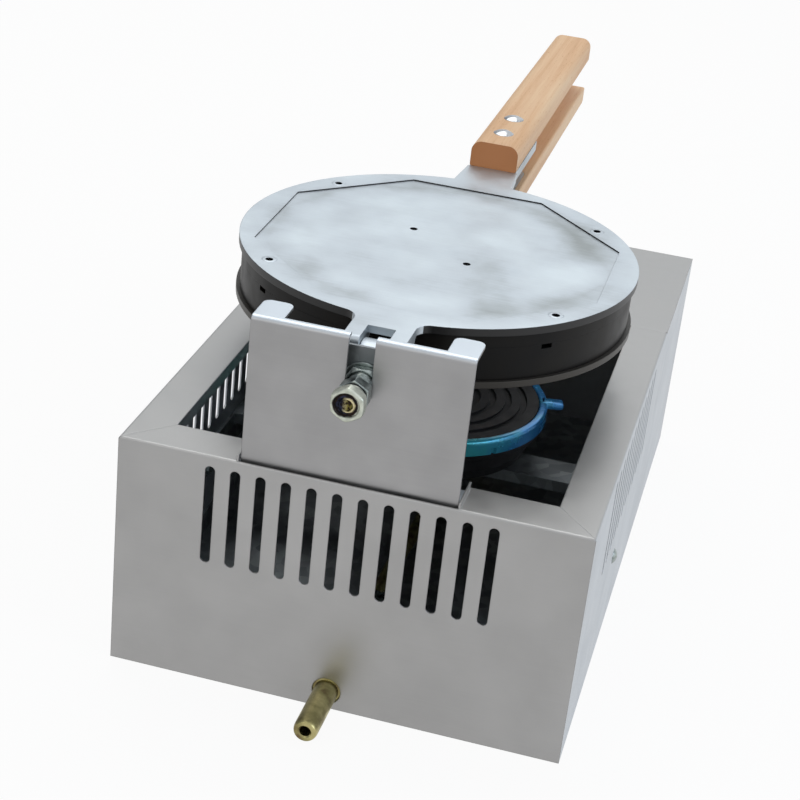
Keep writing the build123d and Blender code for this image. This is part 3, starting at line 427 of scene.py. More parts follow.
def anodisedRing(name, values):
    # anodised aluminium, turned and dyed clear teal, with a painted reflection: green on the +X side drifting to blue
    # on the -X side, for the colour's shift with angle
    material, tree, shader, place = newFinish(name, {"Metallic": 0.45, "Coat Weight": 0.6, "Coat Roughness": 0.12})
    start, end = values["paintedReflectionFadeMm"]
    split = addNode(tree, "ShaderNodeSeparateXYZ", {}, {0: place})
    # painted reflection: the colour runs from green to blue across X, standing in for the shift of colour with angle
    along = addNode(tree, "ShaderNodeMapRange", {"From Min": start * mm, "From Max": end * mm},
                    {"Value": split.outputs["X"]})
    drift = patches(tree, place, 9.0, -0.14, 0.14)
    shade = addNode(tree, "ShaderNodeMath", {"operation": "ADD", "use_clamp": True},
                    {0: along.outputs[0], 1: drift})
    colour = addNode(tree, "ShaderNodeValToRGB", {}, {"Fac": shade.outputs[0]},
                     stops=((0.0, values["green"]), (1.0, values["blue"]), (0.55, values["teal"])))
    low, high = values["roughness"]
    edge = softEdge(tree, values["edgeRadiusMm"])
    streaks = addNode(tree, "ShaderNodeTexNoise", {"Scale": 1000 / values["streakMm"]}, {"Vector": place}).outputs[0]
    tree.links.new(colour.outputs[0], shader.inputs["Base Color"])
    tree.links.new(patches(tree, place, 6.0, low, high), shader.inputs["Roughness"])
    tree.links.new(relief(tree, streaks, 0.01, edge), shader.inputs["Normal"])
    return material


zincValues = {
    "darkColour": "#747D7B",
    "lightColour": "#AFB7B4",
    "spangleMm": 2.5,
    "roughness": (0.24, 0.4),
    "edgeRadiusMm": 0.25,
}


def zincPlate(name, values):
    # steel, electroplated with zinc and passivated: pale blue-grey, bright but never a mirror
    material, tree, shader, place = newFinish(name, {"Metallic": 1.0})
    colour = addNode(tree, "ShaderNodeValToRGB", {},
                     {"Fac": patches(tree, place, values["spangleMm"], 0.0, 1.0, detail=5.0)},
                     stops=((0.0, values["darkColour"]), (1.0, values["lightColour"])))
    low, high = values["roughness"]
    tree.links.new(colour.outputs[0], shader.inputs["Base Color"])
    tree.links.new(patches(tree, place, values["spangleMm"] * 2, low, high), shader.inputs["Roughness"])
    tree.links.new(softEdge(tree, values["edgeRadiusMm"]), shader.inputs["Normal"])
    return material


galvanisedValues = {
    "darkColour": "#7C8082",
    "lightColour": "#9BA0A2",
    "spangleMm": 7.0,
    "roughness": (0.38, 0.52),
    "edgeRadiusMm": 0.5,
}


def galvanisedSheet(name, values):
    # hot-dip galvanised sheet: dull grey with the flat crystals of the frozen zinc
    material, tree, shader, place = newFinish(name, {"Metallic": 1.0})
    crystals = addNode(tree, "ShaderNodeTexVoronoi", {"Scale": 1000 / values["spangleMm"]}, {"Vector": place})
    tone = addNode(tree, "ShaderNodeSeparateColor", {}, {0: crystals.outputs["Color"]})
    colour = addNode(tree, "ShaderNodeValToRGB", {}, {"Fac": tone.outputs[0]},
                     stops=((0.0, values["darkColour"]), (1.0, values["lightColour"])))
    low, high = values["roughness"]
    gloss = addNode(tree, "ShaderNodeMapRange", {"To Min": low, "To Max": high}, {"Value": tone.outputs[1]})
    tree.links.new(colour.outputs[0], shader.inputs["Base Color"])
    tree.links.new(gloss.outputs[0], shader.inputs["Roughness"])
    tree.links.new(softEdge(tree, values["edgeRadiusMm"]), shader.inputs["Normal"])
    return material


brassValues = {
    "clean": "#C7BC86",
    "dull": "#9C9464",
    "brown": "#715E42",
    "cloudMm": 9.0,
    "turningMm": 0.35,
    "turningDepthMm": 0.01,
    "roughness": (0.26, 0.44),
    "edgeRadiusMm": 0.3,
}


def tarnishedBrass(name, values):
    # turned brass, dulled by air and handling: olive yellow with brown stains and fine tool rings
    material, tree, shader, place = newFinish(name, {"Metallic": 1.0})
    colour = addNode(tree, "ShaderNodeValToRGB", {},
                     {"Fac": patches(tree, place, values["cloudMm"], 0.0, 1.0, detail=6.0)},
                     stops=((0.1, values["clean"]), (1.0, values["brown"]), (0.62, values["dull"])))
    rings = addNode(tree, "ShaderNodeTexNoise", {"Scale": 1.0},
                    {"Vector": stretched(tree, place, (40.0, values["turningMm"], 40.0))}).outputs[0]
    low, high = values["roughness"]
    edge = softEdge(tree, values["edgeRadiusMm"])
    tree.links.new(colour.outputs[0], shader.inputs["Base Color"])
    tree.links.new(patches(tree, place, values["cloudMm"], low, high), shader.inputs["Roughness"])
    tree.links.new(relief(tree, rings, values["turningDepthMm"], edge), shader.inputs["Normal"])
    return material


beechValues = {
    "pale": "#F0CCA2",
    "middle": "#E5B88A",
    "streak": "#CF9C69",
    "endGrain": "#C6824F",
    "figureMm": (9.0, 260.0, 9.0),
    "fibreMm": (0.8, 34.0, 0.8),
    "fleckMm": (0.5, 5.0, 1.6),
    "fibreDepthMm": 0.03,
    "roughness": 0.5,
    "edgeRadiusMm": 0.8,
}


def beech(name, values):
    # steamed beech, planed, sanded and oiled: pinkish tan, fine straight fibres along the handle, short dark
    # flecks, and end grain that drinks the oil and goes brown
    material, tree, shader, place = newFinish(name, {"Roughness": values["roughness"], "IOR": 1.5})
    figure = addNode(tree, "ShaderNodeTexNoise", {"Scale": 1.0, "Detail": 4.0, "Distortion": 0.6},
                     {"Vector": stretched(tree, place, values["figureMm"])}).outputs[0]
    fibre = addNode(tree, "ShaderNodeTexNoise", {"Scale": 1.0, "Detail": 3.0},
                    {"Vector": stretched(tree, place, values["fibreMm"])}).outputs[0]
    flecks = addNode(tree, "ShaderNodeTexNoise", {"Scale": 1.0, "Detail": 1.0},
                     {"Vector": stretched(tree, place, values["fleckMm"])}).outputs[0]
    fleckMask = addNode(tree, "ShaderNodeMapRange", {"From Min": 0.66, "From Max": 0.76, "To Max": 0.3},
                        {"Value": flecks})
    tone = addNode(tree, "ShaderNodeMath", {"operation": "MULTIPLY_ADD", 1: 0.35}, {0: fibre, 2: figure})
    toned = addNode(tree, "ShaderNodeMath", {"operation": "ADD"}, {0: tone.outputs[0], 1: fleckMask.outputs[0]})
    length = addNode(tree, "ShaderNodeValToRGB", {}, {"Fac": toned.outputs[0]},
                     stops=((0.48, values["pale"]), (1.0, values["streak"]), (0.72, values["middle"])))
    facing = ownNormal(tree)
    endOn = addNode(tree, "ShaderNodeMath", {"operation": "ABSOLUTE"}, {0: facing["Y"]})
    endMask = addNode(tree, "ShaderNodeMapRange", {"From Min": 0.55, "From Max": 0.9}, {"Value": endOn.outputs[0]})
    colour = addNode(tree, "ShaderNodeMix", {"data_type": "RGBA", 7: linear(values["endGrain"])},
                     {0: endMask.outputs[0], 6: length.outputs[0]})
    edge = softEdge(tree, values["edgeRadiusMm"])
    tree.links.new(colour.outputs[2], shader.inputs["Base Color"])
    tree.links.new(relief(tree, fibre, values["fibreDepthMm"], edge), shader.inputs["Normal"])
    return material


plasticValues = {"colour": "#18181A", "grainMm": 0.6, "grainDepthMm": 0.02, "roughness": 0.42, "edgeRadiusMm": 0.5}


def mouldedPlastic(name, values):
    # phenolic plastic, hot moulded: deep black with a fine matt texture from the tool
    material, tree, shader, place = newFinish(name, {"Roughness": values["roughness"], "IOR": 1.55})
    tone = addNode(tree, "ShaderNodeValToRGB", {}, {"Fac": patches(tree, place, 12.0, 0.0, 1.0)},
                   stops=((0.0, values["colour"]), (1.0, "#232325")))
    grain = addNode(tree, "ShaderNodeTexNoise", {"Scale": 1000 / values["grainMm"]}, {"Vector": place}).outputs[0]
    edge = softEdge(tree, values["edgeRadiusMm"])
    tree.links.new(tone.outputs[0], shader.inputs["Base Color"])
    tree.links.new(relief(tree, grain, values["grainDepthMm"], edge), shader.inputs["Normal"])
    return material


oxideValues = {
    "darkColour": "#1B1C1E",
    "lightColour": "#3A3B3D",
    "spangleMm": 2.0,
    "roughness": (0.35, 0.5),
    "edgeRadiusMm": 0.2,
}

burntValues = {
    "zinc": "#DDE0D2",
    "shade": "#B7BBAE",
    "scorch": "#2C3044",
    "soot": "#100F14",
    "brown": "#24170F",
    "cream": "#DDCFA4",
    "olive": "#7A7136",
    "discMm": 5.9,
    "discAsideMm": 0.7,
    "ringMm": 4.3,
    "crescentMm": (2.9, 3.7),
    "wanderMm": 1.2,
    "wanderSizeMm": 2.4,
    "crustMm": 1.3,
    "edgeRadiusMm": 0.5,
}


def burntNut(name, values, axis):
    # zinc-plated steel that has been in the flame: the passivation has gone cream, burnt grease covers the
    # shaft's end inside it, blue-black on one side and brown round the edge, with a cream crescent on the -X side
    material, tree, shader, place = newFinish(name, {"Metallic": 0.85})
    wander = addNode(tree, "ShaderNodeTexNoise", {"Scale": 1000 / values["wanderSizeMm"], "Detail": 4.0},
                     {"Vector": place})
    centred = addNode(tree, "ShaderNodeVectorMath", {"operation": "SUBTRACT", 1: (0.5, 0.5, 0.5)},
                      {0: wander.outputs["Color"]})
    offset = addNode(tree, "ShaderNodeVectorMath", {"operation": "SCALE", "Scale": values["wanderMm"] * mm},
                     {0: centred.outputs[0]})
    moved = addNode(tree, "ShaderNodeVectorMath", {"operation": "ADD"}, {0: place, 1: offset.outputs[0]})

    def distanceFrom(centre):
        away = addNode(tree, "ShaderNodeVectorMath", {"operation": "SUBTRACT", 1: centre}, {0: moved.outputs[0]})
        flat = addNode(tree, "ShaderNodeVectorMath", {"operation": "MULTIPLY", 1: (1, 0, 1)}, {0: away.outputs[0]})
        length = addNode(tree, "ShaderNodeVectorMath", {"operation": "LENGTH"}, {0: flat.outputs[0]})
        return length.outputs["Value"], addNode(tree, "ShaderNodeSeparateXYZ", {}, {0: away.outputs[0]}).outputs["X"]

    def within(value, edgeMm, blurMm=0.3):
        # 1 below the edge and 0 above it
        step = addNode(tree, "ShaderNodeMapRange",
                       {"From Min": (edgeMm + blurMm) * mm, "From Max": (edgeMm - blurMm) * mm}, {"Value": value})
        return step.outputs[0]

    def both(first, second):
        return addNode(tree, "ShaderNodeMath", {"operation": "MULTIPLY"}, {0: first, 1: second}).outputs[0]

    fromDisc, _ = distanceFrom(axis + Vector((values["discAsideMm"] * mm, 0, 0)))
    fromAxis, aside = distanceFrom(axis)
    disc = within(fromDisc, values["discMm"])
    inner, outer = values["crescentMm"]
    crust = patches(tree, place, values["crustMm"], 0.0, 1.0, detail=5.0, contrast=0.1)
    plate = addNode(tree, "ShaderNodeMix", {"data_type": "RGBA", 6: linear(values["shade"]), 7: linear(values["zinc"])},
                    {0: patches(tree, place, 4.0, 0.0, 1.0)})
    rightSide = within(aside, 1.0, 1.2)
    band = both(within(fromAxis, outer), rightSide)
    tones = plate.outputs[2]
    for mask, colour in ((disc, "brown"), (both(disc, within(fromDisc, values["ringMm"])), "scorch"),
                         (both(disc, crust), "soot"), (band, "cream"), (both(within(fromAxis, inner), rightSide), "olive"),
                         (both(within(fromAxis, inner), crust), "brown")):
        tones = addNode(tree, "ShaderNodeMix", {"data_type": "RGBA", 7: linear(values[colour])},
                        {0: mask, 6: tones}).outputs[2]
    facing = ownNormal(tree)
    endOn = addNode(tree, "ShaderNodeMapRange", {"From Min": 0.1, "From Max": 0.4}, {"Value": facing["Y"]})
    colour = addNode(tree, "ShaderNodeMix", {"data_type": "RGBA"}, {0: endOn.outputs[0], 6: plate.outputs[2], 7: tones})
    tree.links.new(colour.outputs[2], shader.inputs["Base Color"])
    tree.links.new(patches(tree, place, 3.0, 0.3, 0.5), shader.inputs["Roughness"])
    tree.links.new(softEdge(tree, values["edgeRadiusMm"]), shader.inputs["Normal"])
    return material


# the bracket's up colour is a painted bluish-white highlight on its faces turned up
bracketSheet = {**sheetValues, "darkColour": "#9D9C9C", "lightColour": "#A7A6A6", "paintedTopLightColour": "#CAD1D7",
                "foldRadiusMm": 0.6, "cloudMm": 30.0}
# painted light: the side panels are a lighter, bluer copy of the sheet, standing in for the light falling on the sides
paintedLitSideSheet = {**sheetValues, "darkColour": "#B6BBC0", "lightColour": "#C0C5CA"}
# the lower plate's coated faces are painted a half-metal grey-brown, standing in for the warm reflection in its black
# coat
lowerCasting = {**castingValues, "rimFromMm": 101.4, "sideColour": "#3F3C37", "sideMetal": 0.5,
                "sideRoughness": 0.42}
polishedValues = {**zincValues, "darkColour": "#A9ABAD", "lightColour": "#C9CBCC", "roughness": (0.12, 0.22)}

sheetAcross = stainlessSheet("brushed_stainless_across", sheetValues, "X")
sheetLengthwise = stainlessSheet("brushed_stainless_sides_painted_lit", paintedLitSideSheet, "Y")
bracketFinish = stainlessSheet("brushed_stainless_bracket", bracketSheet, "X")
aluminium = castAluminium("rubbed_cast_aluminium", castingValues)
lowerAluminium = castAluminium("lower_cast_aluminium_painted_reflection", lowerCasting)
coating = nonstickCoating("baked_nonstick_coat", coatingValues)
iron = enamelledIron("black_enamelled_iron", ironValues)
anodised = anodisedRing("teal_anodised_aluminium", anodisedValues)
zinc = zincPlate("zinc_plated_steel", zincValues)
polished = zincPlate("polished_steel", polishedValues)
oxide = zincPlate("black_oxide_steel", oxideValues)
galvanised = galvanisedSheet("galvanised_sheet", galvanisedValues)
brass = tarnishedBrass("tarnished_turned_brass", brassValues)
wood = beech("oiled_beech", beechValues)
plastic = mouldedPlastic("moulded_black_plastic", plasticValues)

nodeFinishes = {
    sheetAcross: ["rear_panel", "front_panel", "front_cover"],
    sheetLengthwise: ["right_side_panel", "left_side_panel"],
    bracketFinish: ["pan_bracket"],
    galvanised: ["base_plate", "burner_support", "hinge_back_plate"],
    aluminium: ["upper_back_plate"],
    lowerAluminium: ["lower_back_plate"],
    oxide: ["upper_screws", "lower_screws"],
    coating: ["upper_mould", "lower_mould"],
    iron: ["burner_bowl", "burner_cap", "mixing_tube"],
    anodised: ["burner_ring"],
    zinc: ["side_screws", "side_nuts", "burner_bolt", "burner_nut", "hinge_pin",
           "upper_handle_nuts", "lower_handle_nuts", "pipe_saddles", "air_shutter", "valve_screws",
           "back_nut", "front_nut", "end_nut", "pivot_washer", "shaft_washer", "pivot_shaft"],
    polished: ["upper_handle_bolts", "lower_handle_bolts", "valve_stem"],
    brass: ["injector", "gas_valve", "valve_plug", "gas_pipe", "pipe_nut", "hose_nozzle", "inlet_nut"],
    wood: ["upper_handle", "lower_handle"],
    plastic: ["knob"],
}
for finish, names in nodeFinishes.items():
    for name in names:
        for place in nodes[name].material_slots:
            place.material = finish
print("finishes made:", len(nodeFinishes))


# pieces that stand for CAD nodes with more detail

def pointAbout(axis, radius, angle, y):
    # a point on a circle about a line along Y, in metres
    return (axis.x + radius * mm * cos(angle), y, axis.z + radius * mm * sin(angle))


def finishPiece(name, mesh, finishes, body, replaced):
    # outward normals, smooth shading with sharp corners, materials, and its place in the frame
    build = bmesh.new()
    build.from_mesh(mesh)
    bmesh.ops.recalc_face_normals(build, faces=build.faces)
    build.to_mesh(mesh)
    build.free()
    mesh.shade_smooth()
    mesh.set_sharp_from_angle(angle=radians(32))
    for finish in finishes:
        mesh.materials.append(finish)
    piece = bpy.data.objects.new(name, mesh)
    bpy.context.scene.collection.objects.link(piece)
    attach(piece, body)
    if replaced:
        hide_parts(*replaced)


def skin(name, rings, closed, finish, body, replaced):
    # quads between rings of equal count; closed joins the last ring to the first, else both ends are capped
    count = len(rings[0])
    mesh = bpy.data.meshes.new(name)
    faces = []
    for row in range(len(rings) if closed else len(rings) - 1):
        after = (row + 1) % len(rings)
        for column in range(count):
            beside = (column + 1) % count
            faces.append((row * count + column, row * count + beside, after * count + beside, after * count + column))
    if not closed:
        faces.append(tuple(range(count)))
        faces.append(tuple(range((len(rings) - 1) * count, len(rings) * count)))
    mesh.from_pydata([point for ring in rings for point in ring], [], faces)
    finishPiece(name, mesh, [finish], body, replaced)


def skinMany(name, skins, finishes, innerRow, body, replaced, closed=()):
    # several skins in one piece, capped unless closed says so; rows from innerRow on take the second finish
    mesh = bpy.data.meshes.new(name)
    vertices, faces, finishOf = [], [], []
    for order, rings in enumerate(skins):
        looped = order < len(closed) and closed[order]
        count = len(rings[0])
        start = len(vertices)
        vertices += [point for ring in rings for point in ring]
        for row in range(len(rings) if looped else len(rings) - 1):
            near = start + row * count
            far = start + (row + 1) % len(rings) * count
            for column in range(count):
                beside = (column + 1) % count
                faces.append((near + column, near + beside, far + beside, far + column))
                finishOf.append(1 if row >= innerRow else 0)
        if not looped:
            last = start + (len(rings) - 1) * count
            faces += [tuple(range(start, start + count)), tuple(range(last, last + count))]
            finishOf += [0, 1]
    mesh.from_pydata(vertices, [], faces)
    mesh.polygons.foreach_set("material_index", finishOf)
    finishPiece(name, mesh, finishes, body, replaced)


def nutRings(axis, y, values, turn):
    # a bored hexagon whose corners end in a 30 degree chamfer cone at both faces
    start, end = y
    flat = values["flatsMm"] / 2
    bore = values["boreMm"]
    face = flat * values["faceShare"]
    depth = (flat / cos(radians(30)) - face) * tan(radians(30))
    stations = [step / values["chamferSteps"] * depth * 1.15 for step in range(values["chamferSteps"] + 1)]
    angles = [index * 2 * pi / values["segments"] for index in range(values["segments"])]

    def ring(station, fromFace, radius=None):
        points = []
        for angle in angles:
            off = (angle - turn) % (pi / 3) - pi / 6
            limit = face + fromFace / tan(radians(30))
            hexagon = flat / cos(off) - max(0.0, values["edgeMm"] - fromFace)
            reach = min(hexagon, limit, values["cornerMm"]) if radius is None else radius
            points.append(pointAbout(axis, reach, angle, station))
        return points

    sink = values["sinkMm"]
    rings = [ring(start + sink * mm, 0, bore), ring(start, 0, bore + sink)]
    rings += [ring(start + off * mm, off) for off in stations]
    rings += [ring(end - off * mm, off) for off in reversed(stations)]
    rings += [ring(end, 0, bore + sink), ring(end - sink * mm, 0, bore)]
    return rings


def turnedRings(axis, profile, segments):
    # a turned piece from (radius in mm, y in metres) points
    angles = [index * 2 * pi / segments for index in range(segments)]
    return [[pointAbout(axis, radius, angle, y) for angle in angles] for radius, y in profile]


def middle(box):
    return (box[0] + box[1]) / 2


shaftAxis = middle(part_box("front_nut"))
nutValues = {
    "flatsMm": 18.5,
    "boreMm": 6.05,
    "faceShare": 0.94,
    "chamferSteps": 6,
    "segments": 144,
    "cornerMm": 10.5,
    "edgeMm": 0.3,
    "sinkMm": 0.7,
}
# the front one is a thin-walled hexagon collar, as wide as the slot
collarValues = {**nutValues, "flatsMm": 13.6, "faceShare": 1.02, "cornerMm": 7.75, "edgeMm": 0.4, "sinkMm": 0.2}
slimNutValues = {**nutValues, "flatsMm": 15.6, "cornerMm": 8.9}
for nutName, values, turn in (("front_nut", collarValues, radians(30)), ("back_nut", slimNutValues, 0)):
    low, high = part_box(nutName)
    skin("hex_" + nutName, nutRings(shaftAxis, (low.y, high.y), values, turn), True, zinc,
         "lower_half", [nutName])



def washerRings(axis, y, radius, values):
    # a flat ring with broken edges
    start, end = y
    edge = values["edgeMm"]
    bore = values["boreMm"]
    profile = [(bore, start), (radius - edge, start), (radius, start + edge * mm), (radius, end - edge * mm),
               (radius - edge, end), (bore, end)]
    return turnedRings(axis, profile, values["segments"])


washerValues = {"edgeMm": 0.25, "boreMm": 6.05, "segments": 96, "pivotMm": 6.6, "shaftMm": 9.5, "darkWasherMm": 6.5,
                "darkWasherLengthMm": 0.5}
for washerName, radiusKey, body in (("pivot_washer", "pivotMm", "pan_seat"), ("shaft_washer", "shaftMm", "lower_half")):
    low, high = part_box(washerName)
    rings = washerRings(shaftAxis, (low.y, high.y), washerValues[radiusKey], washerValues)
    skin("flat_" + washerName, rings, True, zinc, body, [washerName])

# end nut: a round neck, then a forged hexagon with rounded corners round the shaft's end
endNutValues = {
    "flatsMm": 16.0,
    "cornerMm": 8.75,
    "cornerPower": 14,
    "segments": 144,
    "neckMm": 6.0,
    "neckLengthMm": 4.2,
    "backTaperMm": 1.4,
    "backShare": 0.84,
    "crownMm": 1.3,
    "rimShare": 0.86,
    "crownSteps": 6,
    "boreMm": 5.9,
    "sinkMm": 1.0,
    "bossMm": 3.4,
    "bossRiseMm": 0.5,
}


def endNutRings(axis, y, values):
    start, end = y
    flat = values["flatsMm"] / 2
    power = values["cornerPower"]
    crown = values["crownMm"]
    angles = [index * 2 * pi / values["segments"] for index in range(values["segments"])]

    def hexRing(station, share):
        points = []
        for angle in angles:
            off = (angle - radians(30)) % (pi / 3) - pi / 6
            softened = ((flat / cos(off)) ** -power + values["cornerMm"] ** -power) ** (-1 / power)
            points.append(pointAbout(axis, softened * share, angle, station))
        return points

    def roundRing(station, radius):
        return [pointAbout(axis, radius, angle, station) for angle in angles]

    hexStart = start + values["neckLengthMm"] * mm
    rings = [roundRing(start, values["neckMm"]), roundRing(hexStart - 0.2 * mm, values["neckMm"]),
             hexRing(hexStart, values["backShare"])]
    for step in range(1, values["crownSteps"] + 1):
        turn = step / values["crownSteps"] * pi / 2
        share = values["backShare"] + (1 - values["backShare"]) * sin(turn)
        rings.append(hexRing(hexStart + values["backTaperMm"] * mm * (1 - cos(turn)), share))
    for step in range(values["crownSteps"] + 1):
        turn = step / values["crownSteps"] * pi / 2
        share = values["rimShare"] + (1 - values["rimShare"]) * cos(turn)
        rings.append(hexRing(end - crown * mm * (1 - sin(turn)), share))
    sink = values["sinkMm"]
    boss = values["bossMm"]
    floor = end - sink * mm
    rings += [roundRing(end, values["boreMm"] + 0.4), roundRing(end - 0.3 * mm, values["boreMm"]),
              roundRing(floor, values["boreMm"] - 0.3), roundRing(floor, boss + 0.5),
              roundRing(floor + values["bossRiseMm"] * mm, boss), roundRing(floor + values["bossRiseMm"] * mm, boss - 0.5),
              roundRing(floor - 0.2 * mm, boss - 1.0), roundRing(floor - 0.2 * mm, 0.3)]
    return rings


low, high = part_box("end_nut")
burnt = burntNut("flame_burnt_zinc", burntValues, middle((low, high)))
endRings = endNutRings(middle((low, high)), (low.y, high.y), endNutValues)
skin("rounded_end_nut", endRings, False, burnt, "lower_half", ["end_nut"])
# a thin black ring round the foot of the end nut's neck
darkWasher = washerRings(shaftAxis, (low.y - 0.1 * mm, low.y + (washerValues["darkWasherLengthMm"] - 0.1) * mm),
                     washerValues["darkWasherMm"], {**washerValues, "boreMm": endNutValues["neckMm"] + 0.01})
skin("dark_washer", darkWasher, True, oxide, "lower_half", [])

# pivot shaft: M12 thread cut along it, with a plain spigot into the knuckle
threadValues = {"pitchMm": 1.75, "depthMm": 0.95, "segments": 72, "stepMm": 0.25, "spigotMm": 4.0, "spigotLengthMm": 11.3}


def threadRings(axis, y, values):
    start, end = y
    pitch = values["pitchMm"] * mm
    count = int((end - start) / (values["stepMm"] * mm))
    angles = [index * 2 * pi / values["segments"] for index in range(values["segments"])]
    rings = []
    for step in range(count + 1):
        station = start + (end - start) * step / count
        ring = []
        for angle in angles:
            phase = ((station - start) / pitch - angle / (2 * pi)) % 1.0
            groove = max(0.0, 1.0 - abs(phase - 0.5) / 0.42)
            ring.append(pointAbout(axis, 5.98 - values["depthMm"] * groove, angle, station))
        rings.append(ring)
    return rings


low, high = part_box("pivot_shaft")
shoulder = low.y + threadValues["spigotLengthMm"] * mm
spigot = turnedRings(shaftAxis, [(threadValues["spigotMm"] - 0.5, low.y), (threadValues["spigotMm"], low.y + 0.5 * mm),
                                 (threadValues["spigotMm"], shoulder)], threadValues["segments"])
shaft = spigot + threadRings(shaftAxis, (shoulder, high.y), threadValues)
skin("threaded_pivot_shaft", shaft, False, zinc, "lower_half", ["pivot_shaft"])

# hose nozzle: turned brass with a rolled tip, a bore with a broken edge, and its hexagon behind the panel
nozzleValues = {
    "tubeMm": 6.0,
    "tipMm": 5.2,
    "boreMm": 2.75,
    "segments": 96,
    "hexMm": 17.0,
    "hexLengthMm": 7.0,
    "boreDepthMm": 34.0,
}


def nozzleProfile(y, values):
    shoulder, tip = y
    tube = values["tubeMm"]
    end = values["tipMm"]
    bore = values["boreMm"]
    points = [(values["hexMm"] / 2 * 0.95, shoulder), (tube, shoulder + 0.4 * mm), (tube, tip - 4.2 * mm)]
    for step in range(1, 9):
        turn = step / 8 * pi / 2
        points.append((end + (tube - end) * cos(turn) - (end - bore - 1.6) * 0.28 * sin(turn) ** 3,
                       tip - 4.2 * mm * (1 - sin(turn) ** 0.8)))
    points += [(bore + 0.7, tip), (bore, tip - 0.7 * mm), (bore, tip - values["boreDepthMm"] * mm)]
    return points


low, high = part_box("hose_nozzle")
nozzleAxis = middle((low, high))
panelY = low.y + nozzleValues["hexLengthMm"] * mm
hexagon = {**nutValues, "flatsMm": nozzleValues["hexMm"], "cornerMm": 10.0, "boreMm": 0.5, "sinkMm": 0.1}
hexRings = nutRings(nozzleAxis, (low.y, panelY), {**hexagon, "segments": nozzleValues["segments"]}, 0)
nozzleRings = hexRings[:-2] + turnedRings(nozzleAxis, nozzleProfile((panelY, high.y), nozzleValues),
                                          nozzleValues["segments"])
skin("turned_hose_nozzle", nozzleRings, False, brass, "stove", ["hose_nozzle"])
print("shaft and nozzle pieces made")

# burner ring: turned with a rounded crest, one small notch at its foot and a lug for lifting it out
ringValues = {
    "outerMm": 61.4,
    "innerMm": 56.7,
    "crestMm": 1.9,
    "footMm": 0.5,
    "segments": 360,
    "crestSteps": 6,
    "notchDegrees": 133.5,
    "notchHalfDegrees": 1.2,
    "notchDepthMm": 1.1,
    "notchHeightMm": 3.6,
    "lugDegrees": 194.0,
    "lugMm": (58.5, 70.4),
    "lugWidthMm": 8.0,
    "lugHeightMm": 4.0,
    "lugRoundMm": 1.6,
}


def burnerRingRings(z, values):
    foot, top = z
    outer, inner, crest = values["outerMm"], values["innerMm"], values["crestMm"]
    profile = [(inner, foot), (outer - values["footMm"], foot), (outer, foot + values["footMm"] * mm),
               (outer, foot + values["notchHeightMm"] * mm), (outer, foot + (values["notchHeightMm"] + 0.4) * mm)]
    for step in range(values["crestSteps"] + 1):
        turn = step / values["crestSteps"] * pi / 2
        profile.append((outer - crest * (1 - cos(turn)), top - crest * mm * (1 - sin(turn))))
    for step in range(values["crestSteps"] + 1):
        turn = step / values["crestSteps"] * pi / 2
        profile.append((inner + crest * 0.6 * (1 - sin(turn)), top - crest * 0.6 * mm * (1 - cos(turn))))
    rings = []
    for radius, height in profile:
        ring = []
        for index in range(values["segments"]):
            degrees = index * 360 / values["segments"]
            notched = abs(degrees - values["notchDegrees"]) < values["notchHalfDegrees"]
            low = radius > inner + crest and height < foot + (values["notchHeightMm"] + 0.1) * mm
            reach = radius - values["notchDepthMm"] if notched and low else radius
            ring.append((reach * mm * cos(radians(degrees)), reach * mm * sin(radians(degrees)), height))
        rings.append(ring)
    return rings


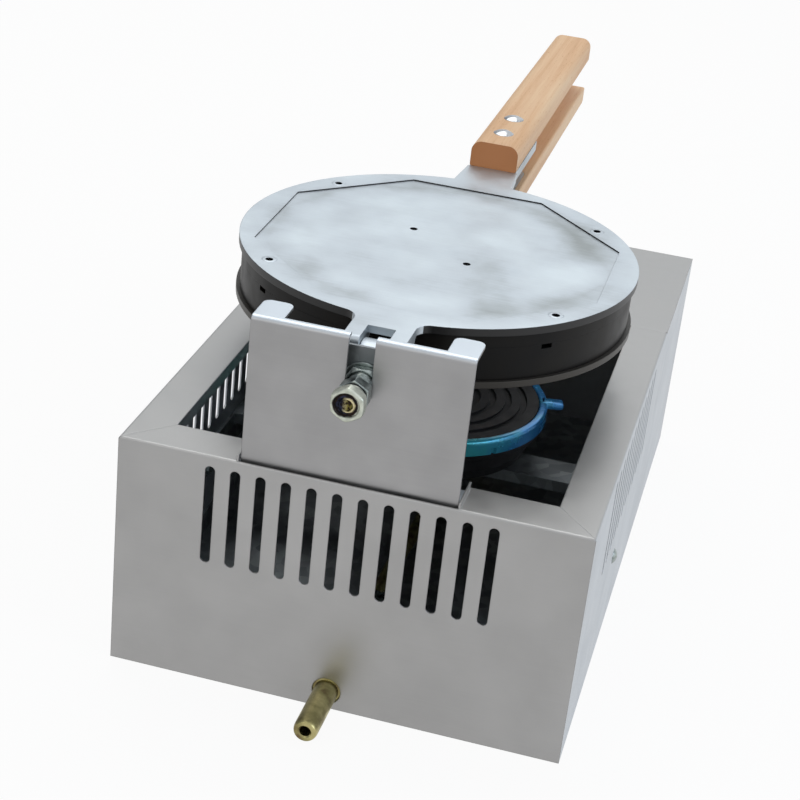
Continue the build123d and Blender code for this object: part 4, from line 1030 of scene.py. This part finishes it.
def lugRings(top, values):
    # rounded bar seen from its outer end: rings of a rounded rectangle along the ring's radius
    near, far = values["lugMm"]
    halfWidth, height, soft = values["lugWidthMm"] / 2, values["lugHeightMm"], values["lugRoundMm"]
    outward = Vector((cos(radians(values["lugDegrees"])), sin(radians(values["lugDegrees"])), 0))
    aside = Vector((-outward.y, outward.x, 0))
    rings = []
    for reach, inset in ((near, 0.0), (far - soft, 0.0), (far - soft * 0.4, soft * 0.25), (far, soft * 0.9)):
        ring = []
        for corner in range(4):
            for step in range(4):
                turn = radians(corner * 90 + step * 30)
                x = (halfWidth - soft) * (1 if corner in (0, 3) else -1) + (soft - inset) * cos(turn)
                z = (height / 2 - soft) * (1 if corner in (0, 1) else -1) + (soft - inset) * sin(turn)
                ring.append(tuple((outward * reach + aside * x) * mm + Vector((0, 0, top + (z - height / 2) * mm))))
        rings.append(ring)
    return rings


low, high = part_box("burner_ring")
skinMany("turned_burner_ring", [burnerRingRings((low.z, high.z), ringValues), lugRings(high.z, ringValues)],
         [anodised, anodised], 0, "stove", ["burner_ring"], closed=(True, False))
print("burner ring made")

# rim screws: flush heads rubbed down with the plate, so that only their small sockets show
screwValues = {
    "reachMm": 95.0,
    "firstDegrees": 50.0,
    "headMm": 3.86,
    "coneMm": 1.8,
    "shankMm": 2.0,
    "lengthMm": 8.5,
    "socketMm": 1.75,
    "socketDepthMm": 1.9,
    "lipMm": 0.25,
    "segments": 48,
}


def screwRings(centre, face, side, values):
    # from the shank's end up round the head and down into the socket; side is +1 on top of the pan
    socket = values["socketMm"]
    profile = [(values["shankMm"] - 0.4, values["lengthMm"]), (values["shankMm"], values["lengthMm"] - 0.4),
               (values["shankMm"], values["coneMm"]), (values["headMm"], 0.06), (values["headMm"] - 0.1, 0.0),
               (socket + values["lipMm"], 0.0), (socket, values["lipMm"]), (socket, values["socketDepthMm"]),
               (0.2, values["socketDepthMm"] + 0.5)]
    angles = [index * 2 * pi / values["segments"] for index in range(values["segments"])]
    return [[(centre.x + radius * mm * cos(angle), centre.y + radius * mm * sin(angle), face - side * depth * mm)
             for angle in angles] for radius, depth in profile]


def rimScrews(name, node, side, body, plateFinish, values):
    low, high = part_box(node)
    centre = (low + high) / 2
    face = high.z if side > 0 else low.z
    screws = []
    for mirrorX in (1, -1):
        for mirrorY in (1, -1):
            turn = radians(values["firstDegrees"])
            place = centre + Vector((mirrorX * sin(turn), mirrorY * cos(turn), 0)) * values["reachMm"] * mm
            screws.append(screwRings(place, face, side, values))
    skinMany(name, screws, [plateFinish, oxide], 5, body, [node])


rimScrews("upper_socket_screws", "upper_screws", 1, "upper_half", aluminium, screwValues)
rimScrews("lower_socket_screws", "lower_screws", -1, "lower_half", lowerAluminium, screwValues)
print("rim screws made")
